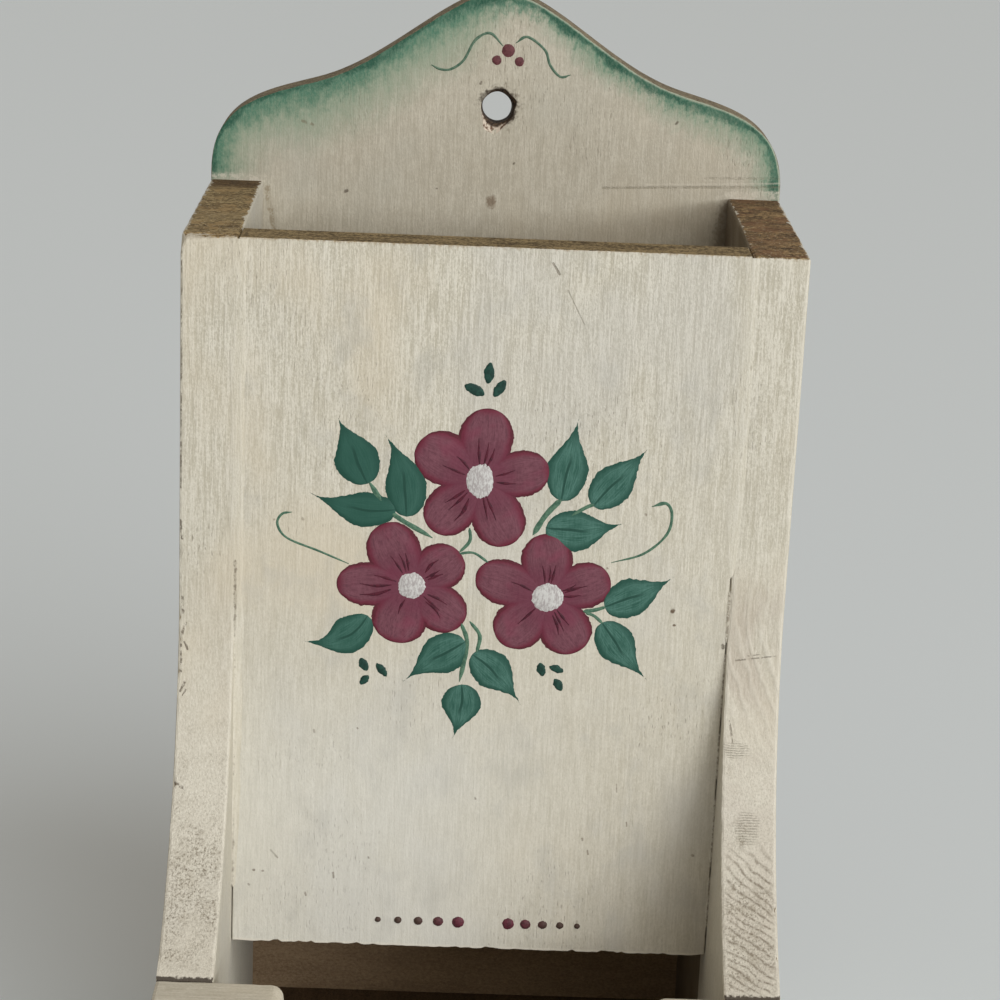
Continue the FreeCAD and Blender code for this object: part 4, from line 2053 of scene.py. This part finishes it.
@dataclass(frozen=True)
class LeafPaint:
    """Green paint with darker rims and a drawn midrib."""

    body: Colour = paint(78, 119, 107)
    shade: Colour = paint(32, 78, 65)
    rim: Colour = paint(18, 66, 53)

    def build(self) -> Finish:
        """Makes the material.

        Returns:
            The material.
        """
        desk = FinishDesk("leaf_paint")
        spread = desk.out("TexCoord", "UV")
        spot = desk.axes(spread)
        drawn = desk.noise((4, 24, 1), 3, 0.6, place=spread)
        strokes = desk.group("brush_strokes")
        mix = drawn * 0.6 + strokes["Tone"] * 0.4
        colour = desk.blend(desk.ease(mix, 0.34, 0.66), self.shade, self.body)
        across = abs(spot["Y"] - 0.5) * 2.0
        ragged = (drawn - 0.5) * 0.5
        spray = desk.spot
        west = (desk.ease(spray["X"], 2 * MM, -18 * MM)
                * desk.ease(spray["Z"], 100 * MM, 112 * MM, 0.4, 0.85))
        colour = desk.blend(west, colour, self.shade)
        near = desk.calc("MAXIMUM", desk.ease(across + ragged, 0.55, 0.95),
                         desk.ease(spot["X"], 0.62, 0.85))
        colour = desk.blend(near * 0.85, colour, self.rim)
        wander = (desk.noise((3, 0.5, 1), 1, place=spread) - 0.5) * 0.2
        rib = desk.ease(abs(spot["Y"] - 0.5 + wander), 0.05, 0.02)
        rib = rib * desk.ease(spot["X"], 0.62, 0.42)
        colour = desk.blend(rib * 0.85, colour, paint(18, 62, 50))
        return desk.film(colour, mix, 0.08 * MM)


@dataclass(frozen=True)
class DabPaint:
    """Paint of small dabs and lines, a little uneven."""

    name: str
    light: Colour
    dark: Colour
    grain: float = 1500.0
    drag: float = 1.0
    far: Optional[Colour] = None

    def build(self) -> Finish:
        """Makes the material.

        Returns:
            The material.
        """
        desk = FinishDesk(self.name)
        dabs = desk.noise((self.grain, self.grain, self.grain * self.drag), 3, 0.65, (0.0, 0.5, 0.0))
        colour = desk.blend(desk.ease(dabs, 0.38, 0.6), self.dark, self.light)
        if self.far:
            across = abs(desk.spot["X"] - 2.3 * MM)
            colour = desk.blend(desk.ease(across, 5 * MM, 12 * MM), colour, self.far)
        return desk.film(colour, dabs, 0.1 * MM)


@dataclass(frozen=True)
class Flower:
    """One flower, in millimetres below the side tops; a petal is its angle, reach and half width."""

    middle: Point2
    heart: Point2
    petals: Tuple[Point3, ...]


@dataclass(frozen=True)
class Leaf:
    """One leaf of the spray: stalk end, middle, tip and half width, in millimetres below the side tops."""

    base: Point2
    body: Point2
    tip: Point2
    half_width: float


@dataclass
class FlowerSpray:
    """Common painted spray on the panel: three flowers, leaves, tendrils and rows of dots."""

    sizes: HolderSizes
    flowers: Tuple[Flower, ...] = (
        Flower((-1.1, -38.0), (2.5, 3.35),
               ((12, 11.2, 3.9), (84, 12.0, 4.3), (150, 11.6, 4.4), (228, 11.4, 4.1), (296, 11.8, 4.3))),
        Flower((-11.5, -56.1), (2.55, 2.55),
               ((36, 9.6, 4.0), (117, 11.4, 4.4), (180, 12.1, 3.7), (252, 10.2, 4.5), (322, 10.5, 4.0))),
        Flower((10.5, -57.3), (2.95, 2.8),
               ((21, 10.6, 4.0), (93, 10.8, 4.3), (162, 12.2, 3.9), (228, 10.9, 4.1), (300, 10.6, 4.3))))
    leaves: Tuple[Leaf, ...] = (
        Leaf((-19.0, -39.2), (-20.7, -35.4), (-23.8, -28.9), 3.3),
        Leaf((-12.7, -44.5), (-13.1, -38.9), (-16.1, -31.7), 3.0),
        Leaf((-14.4, -43.3), (-19.8, -43.5), (-27.3, -41.3), 2.7),
        Leaf((12.0, -40.9), (12.9, -35.1), (14.0, -27.8), 2.9),
        Leaf((17.1, -41.6), (19.9, -38.2), (25.0, -32.2), 2.9),
        Leaf((9.7, -45.5), (14.8, -45.8), (21.4, -44.4), 3.2),
        Leaf((19.8, -58.6), (23.7, -57.0), (30.0, -53.5), 3.0),
        Leaf((19.5, -61.3), (21.7, -64.5), (26.7, -70.2), 2.9),
        Leaf((-18.5, -61.5), (-22.1, -65.4), (-28.0, -66.1), 2.8),
        Leaf((-2.5, -65.4), (-6.6, -68.0), (-11.6, -72.1), 3.1),
        Leaf((-1.3, -67.6), (1.9, -70.2), (6.3, -75.3), 2.9),
        Leaf((-2.9, -72.9), (-2.8, -76.4), (-3.8, -81.5), 3.0))

    @property
    def brush(self) -> FilmBrush:
        """The brush, held to the panel's face."""
        return FilmBrush(self.sizes.panel_front_y)

    def down(self, points: Sequence[Point2]) -> List[Point2]:
        """Points given in millimetres below the side tops, as metres above the ground."""
        return [(x * MM, self.sizes.side_top + z * MM) for x, z in points]

    def build(self) -> List[Tuple[Piece, Finish]]:
        """Paints the spray.

        Returns:
            The pieces with their paints.
        """
        rows = ((self.stems, "spray_stems", DabPaint("stem_paint", paint(84, 116, 94), paint(58, 92, 74))),
                (self.blades, "spray_leaves", LeafPaint()),
                (self.petals, "spray_petals", PetalPaint()),
                (self.flicks, "petal_strokes",
                 DabPaint("stroke_paint", paint(82, 20, 38), paint(60, 12, 28))),
                (self.hearts, "flower_hearts",
                 DabPaint("heart_paint", paint(200, 198, 194), paint(166, 159, 157), 3400.0, 0.4)),
                (self.trios, "leaf_trios",
                 DabPaint("dark_leaf_paint", paint(26, 66, 55), paint(14, 48, 40))),
                (self.dots, "dot_rows",
                 DabPaint("dot_paint", paint(98, 44, 56), paint(72, 34, 42), far=paint(72, 54, 46))))
        return [(self.brush.finish(draw(), name), coat.build()) for draw, name, coat in rows]

    def stems(self) -> List[Piece]:
        """Stems and tendrils.

        Returns:
            Their films.
        """
        stems = ((0.24, (-2.5, -46.0), (-2.4, -48.2), (-4.0, -50.2)),
                 (0.2, (-4.0, -50.4), (-1.7, -50.2), (0.7, -51.7)),
                 (0.4, (-18.8, -38.9), (-15.2, -43.8), (-8.4, -47.9)),
                 (0.46, (12.0, -40.6), (9.6, -43.4), (7.7, -46.8)),
                 (0.34, (-3.3, -62.2), (-2.2, -65.9), (-3.2, -72.4)),
                 (0.3, (-1.9, -61.9), (-0.2, -64.3), (-0.6, -67.3)),
                 (0.3, (16.4, -59.5), (18.2, -59.2), (20.0, -58.6)),
                 (0.26, (16.8, -59.7), (18.2, -60.2), (19.6, -61.4)),
                 (0.3, (17.4, -41.2), (15.9, -41.9), (13.6, -43.4)))
        tendrils = ((0.2, (-21.7, -52.8), (-26.6, -50.8), (-31.7, -48.8), (-33.3, -46.5), (-32.6, -44.8),
                     (-31.0, -44.4)),
                    (0.3, (20.5, -51.0), (25.6, -49.3), (29.1, -46.0), (29.8, -42.6), (28.8, -40.7),
                     (26.5, -41.3)))
        lines = []
        for half, *points in stems:
            lines.append(self.brush.line(self.down(points), half * MM, half * MM, 0.1 * MM))
        for half, *points in tendrils:
            lines.append(self.brush.line(self.down(points), 0.15 * MM, half * MM, 0.08 * MM))
        return lines

    def blades(self) -> List[Piece]:
        """Leaves.

        Returns:
            Their films.
        """
        blades = []
        for leaf in self.leaves:
            reach = (Vector(leaf.tip) - Vector(leaf.body)).normalized()
            tip = (leaf.tip[0] + reach.x, leaf.tip[1] + reach.y)
            points = self.down((leaf.base, leaf.body, tip))
            blades.append(self.brush.leaf(*points, leaf.half_width * 1.1 * MM, 0.13 * MM))
        return blades

    def petals(self) -> List[Piece]:
        """Petals, each a little different.

        Returns:
            Their films.
        """
        films = []
        for flower in self.flowers:
            centre = self.down([flower.middle])[0]
            for angle, reach, half in flower.petals:
                films.append(self.brush.petal(centre, math.radians(angle), reach * MM, half * MM, 0.2 * MM))
        return films

    def flicks(self) -> List[Piece]:
        """Short dark strokes from the heart of each flower.

        Returns:
            Their films.
        """
        lines = []
        for flower in self.flowers:
            for turn, length, _ in flower.petals:
                for spread in (-14, -3, 9):
                    vary = noise.noise(Vector((turn * 0.37, flower.middle[0], spread * 0.7)))
                    if vary < -0.28:
                        continue
                    angle = math.radians(turn + spread + 7 * vary)
                    out = Vector((math.cos(angle), math.sin(angle)))
                    bend = Vector((-out.y, out.x)) * 0.7 * vary
                    first = 2.6 + 1.6 * max(0.0, vary)
                    reach = length * (0.6 + 0.28 * vary) - abs(spread) * 0.05
                    points = [Vector(flower.middle) + out * first,
                              Vector(flower.middle) + out * (first + reach) * 0.5 + bend,
                              Vector(flower.middle) + out * reach]
                    lines.append(self.brush.line(self.down([tuple(p) for p in points]),
                                                 (0.62 + 0.36 * vary) * MM, 0.2 * MM, 0.27 * MM, 0.5))
        return lines

    def hearts(self) -> List[Piece]:
        """Pale stippled hearts."""
        return [self.brush.dab(self.down([flower.middle])[0], (flower.heart[0] * MM, flower.heart[1] * MM),
                               0.42 * MM, flower.middle[0], 5) for flower in self.flowers]

    def trios(self) -> List[Piece]:
        """Three groups of three small dark leaves.

        Returns:
            Their films.
        """
        leaves = (((-0.5, -22.2), (-0.4, -20.7), (-0.1, -18.2), 1.0),
                  ((-0.8, -24.0), (-2.2, -23.2), (-4.5, -22.3), 1.05),
                  ((0.4, -24.2), (1.2, -23.0), (2.4, -21.1), 1.0),
                  ((-18.2, -71.2), (-18.8, -70.2), (-19.5, -68.7), 0.85),
                  ((-16.9, -69.6), (-16.2, -70.5), (-14.9, -72.2), 0.75),
                  ((-18.0, -71.8), (-18.6, -72.5), (-19.4, -73.7), 0.8),
                  ((10.4, -71.1), (10.1, -70.0), (9.8, -68.4), 0.85),
                  ((11.2, -69.2), (12.2, -69.5), (13.9, -70.2), 0.75),
                  ((12.2, -71.2), (12.8, -72.1), (13.6, -73.6), 0.85))
        trios = []
        for base, body, tip, half in leaves:
            ends = [tuple(Vector(body).lerp(Vector(end), 0.86)) for end in (base, tip)]
            points = self.down((ends[0], body, ends[1]))
            trios.append(self.brush.leaf(*points, 0.84 * half * MM, 0.16 * MM, almond=True))
        return trios

    def dots(self) -> List[Piece]:
        """Two rows of dots that grow towards the middle.

        Returns:
            Their films.
        """
        dabs = []
        for first, last in ((-15.4, -1.9), (18.1, 6.5)):
            for k in range(5):
                x = first + (last - first) * k / 4
                radius = (0.48 + 0.13 * k) * MM
                dabs.append(self.brush.dab(self.down([(x, -115.7)])[0], (radius, radius), 0.4 * MM, x, 2))
        return dabs


@dataclass
class CrestScroll:
    """Two scrolls and three berries under the peak of the crest."""

    sizes: HolderSizes

    def build(self) -> List[Tuple[Piece, Finish]]:
        """Paints the scroll.

        Returns:
            The pieces with their paints.
        """
        brush = FilmBrush(self.sizes.back_y)
        up = self.sizes.side_top
        lines = (((0.3, 24.6), (-2.0, 26.7), (-4.5, 25.4), (-6.3, 22.0), (-8.4, 20.4), (-10.2, 20.3),
                  (-11.8, 21.0)),
                 ((2.4, 25.2), (4.4, 26.3), (7.4, 24.2), (8.4, 21.7), (10.2, 19.8), (12.0, 20.2)))
        strokes = [brush.line([(x * MM, up + z * MM) for x, z in points], 0.22 * MM, 0.19 * MM, 0.08 * MM)
                   for points in lines]
        berries = [brush.dab((x * MM, up + z * MM), (r * MM, r * MM), 0.16 * MM, x, 2)
                   for x, z, r in ((1.2, 23.9, 1.1), (-0.7, 22.2, 0.8), (3.15, 22.1, 0.8))]
        return [(brush.finish(strokes, "crest_scrolls"),
                 DabPaint("scroll_paint", paint(94, 118, 98), paint(70, 98, 80)).build()),
                (brush.finish(berries, "crest_berries"),
                 DabPaint("berry_paint", paint(106, 60, 63), paint(86, 44, 48)).build())]


@dataclass
class Studio:
    """Plain pale floor, soft light and the camera at the photograph's angle."""

    lens: float = 95.43
    eye: Point3 = (-4.45, -412.29, 246.21)
    pitch: float = 17.35
    yaw: float = 0.94
    roll: float = 2.39
    window_size: Point2 = (1.5, 0.26)
    window_power: float = 17.0
    window_tint: Point3 = (0.95, 0.985, 1.02)
    bounce_power: float = 1.25
    bounce_spread: float = 50.0
    sky_tint: Colour = (1.0, 0.91, 0.8, 1.0)
    sky_power: float = 0.36
    backdrop: Colour = paint(182, 184, 182)
    ground: Colour = paint(226, 234, 238)

    def build(self) -> None:
        """Sets up the floor, the lights, the world and the camera."""
        self.lay_floor()
        self.hang_lights()
        self.set_camera()

    def lay_floor(self) -> None:
        """Lays the floor."""
        bpy.ops.object.select_all(action="DESELECT")
        bpy.ops.mesh.primitive_plane_add(size=12.0, location=(0, 0, 0))
        ground = bpy.context.object
        ground.name = "studio_floor"
        ground.data.materials.append(FinishDesk("pale_floor").shade(Base_Color=self.ground, Roughness=0.9))

    def hang_lights(self) -> None:
        """Hangs a low soft strip light at the right, a broad one above it, and lights the world evenly."""
        key = bpy.data.lights.new("window_light", "AREA")
        key.shape = "RECTANGLE"
        key.size, key.size_y = self.window_size
        key.energy = self.window_power
        key.color = self.window_tint
        self.aim_light("window_light", key, 41, 9.3, 1.92)
        fill = bpy.data.lights.new("ceiling_bounce", "SUN")
        fill.energy = self.bounce_power
        fill.angle = math.radians(self.bounce_spread)
        self.aim_light("ceiling_bounce", fill, 35, 36, 1.3)
        world = bpy.data.worlds.new("studio_world")
        world.use_nodes = True
        desk = NodeDesk(world.node_tree)
        sky = desk.out("Background", 0, {"Color": self.sky_tint, "Strength": self.sky_power})
        backdrop = desk.out("Background", 0, {"Color": self.backdrop, "Strength": 1.0})
        rays = desk.outs(desk.add("LightPath"))
        seen = desk.calc("MAXIMUM", rays["Is Camera Ray"], rays["Is Glossy Ray"])
        seen = desk.calc("MAXIMUM", seen, rays["Is Transmission Ray"])
        mix = desk.out("MixShader", 0, {0: seen, 1: sky, 2: backdrop})
        desk.feed(world.node_tree.nodes["World Output"].inputs["Surface"], mix)
        bpy.context.scene.world = world

    def aim_light(self, name: str, light: bpy.types.Light, away: float, climb: float, reach: float) -> None:
        """Hangs one light and turns it to the holder.

        Args:
            name: its name.
            light: the light.
            away: degrees to the right of the front.
            climb: degrees above the ground.
            reach: distance from the holder.
        """
        lamp = bpy.data.objects.new(name, light)
        bpy.context.scene.collection.objects.link(lamp)
        aim = Vector((0, 0, 0.1))
        side, rise = math.radians(away), math.radians(climb)
        lamp.location = aim + reach * Vector((math.sin(side) * math.cos(rise),
                                              -math.cos(side) * math.cos(rise), math.sin(rise)))
        lamp.rotation_mode = "QUATERNION"
        lamp.rotation_quaternion = (aim - lamp.location).to_track_quat("-Z", "Y")

    def set_camera(self) -> None:
        """Stands the camera where the photograph was taken from."""
        data = bpy.data.cameras.new("photo_view")
        data.sensor_width = 36.0
        data.lens = self.lens
        data.clip_start = 0.01
        data.clip_end = 50.0
        camera = bpy.data.objects.new("photo_view", data)
        bpy.context.scene.collection.objects.link(camera)
        pitch, yaw, roll = (math.radians(angle) for angle in (self.pitch, self.yaw, self.roll))
        ahead = Vector((math.sin(yaw) * math.cos(pitch), math.cos(yaw) * math.cos(pitch), -math.sin(pitch)))
        level = ahead.cross(Vector((0, 0, 1))).normalized()
        upward = level.cross(ahead)
        right = level * math.cos(roll) + upward * math.sin(roll)
        up = upward * math.cos(roll) - level * math.sin(roll)
        turn = Matrix((right, up, -ahead)).transposed()
        camera.matrix_world = Matrix.Translation(Vector(self.eye) * MM) @ turn.to_4x4()
        bpy.context.scene.camera = camera


def main() -> None:
    """Builds every piece in order and reports it."""
    logging.basicConfig(level=logging.INFO, format="%(name)s %(message)s")
    bpy.context.scene.view_settings.view_transform = "Standard"
    noise.seed_set(WEAR_SEED)
    sizes = HolderSizes.from_frame()
    make_shared_groups()
    Studio().build()
    boards = ((BackBoard(sizes), CREAM_SLOT, "back_board"),
              (SideBoard(sizes, Hand.LEFT), CREAM_SLOT, "left_side"),
              (SideBoard(sizes, Hand.RIGHT), CREAM_SLOT, "right_side"),
              (FrontPanel(sizes), CREAM_SLOT, "front_panel"), (TrayLip(sizes), CREAM_SLOT, "tray_lip"),
              (TrayFloor(sizes), WOOD_SLOT, "tray_floor"))
    for maker, slot, node in boards:
        piece = maker.build()
        maker.dress(piece)
        settle(piece, slot, node)
    for hand in Hand:
        filler = JointFiller(sizes, hand)
        piece = filler.build()
        filler.dress(piece)
        settle(piece, CREAM_SLOT)
    for piece, material in FlowerSpray(sizes).build() + CrestScroll(sizes).build():
        dress(piece, [material])
        settle(piece, CREAM_SLOT)
    brads = BradRows(sizes)
    left, right = Vector((-1, 0, 0)), Vector((1, 0, 0))
    groups = {"back_brads": [(Vector((0, 1, 0)), brads.back_spots())],
              "panel_brads": [(left, brads.panel_spots(Hand.LEFT)), (right, brads.panel_spots(Hand.RIGHT))],
              "floor_brads": [(left, brads.floor_spots(Hand.LEFT)), (right, brads.floor_spots(Hand.RIGHT))],
              "lip_brads": [(Vector((0, -1, 0)), brads.lip_spots())]}
    for node, rows in groups.items():
        piece = brads.build("steel_" + node, rows)
        brads.dress(piece)
        settle(piece, STEEL_SLOT, node)


if __name__ == "__main__":
    main()
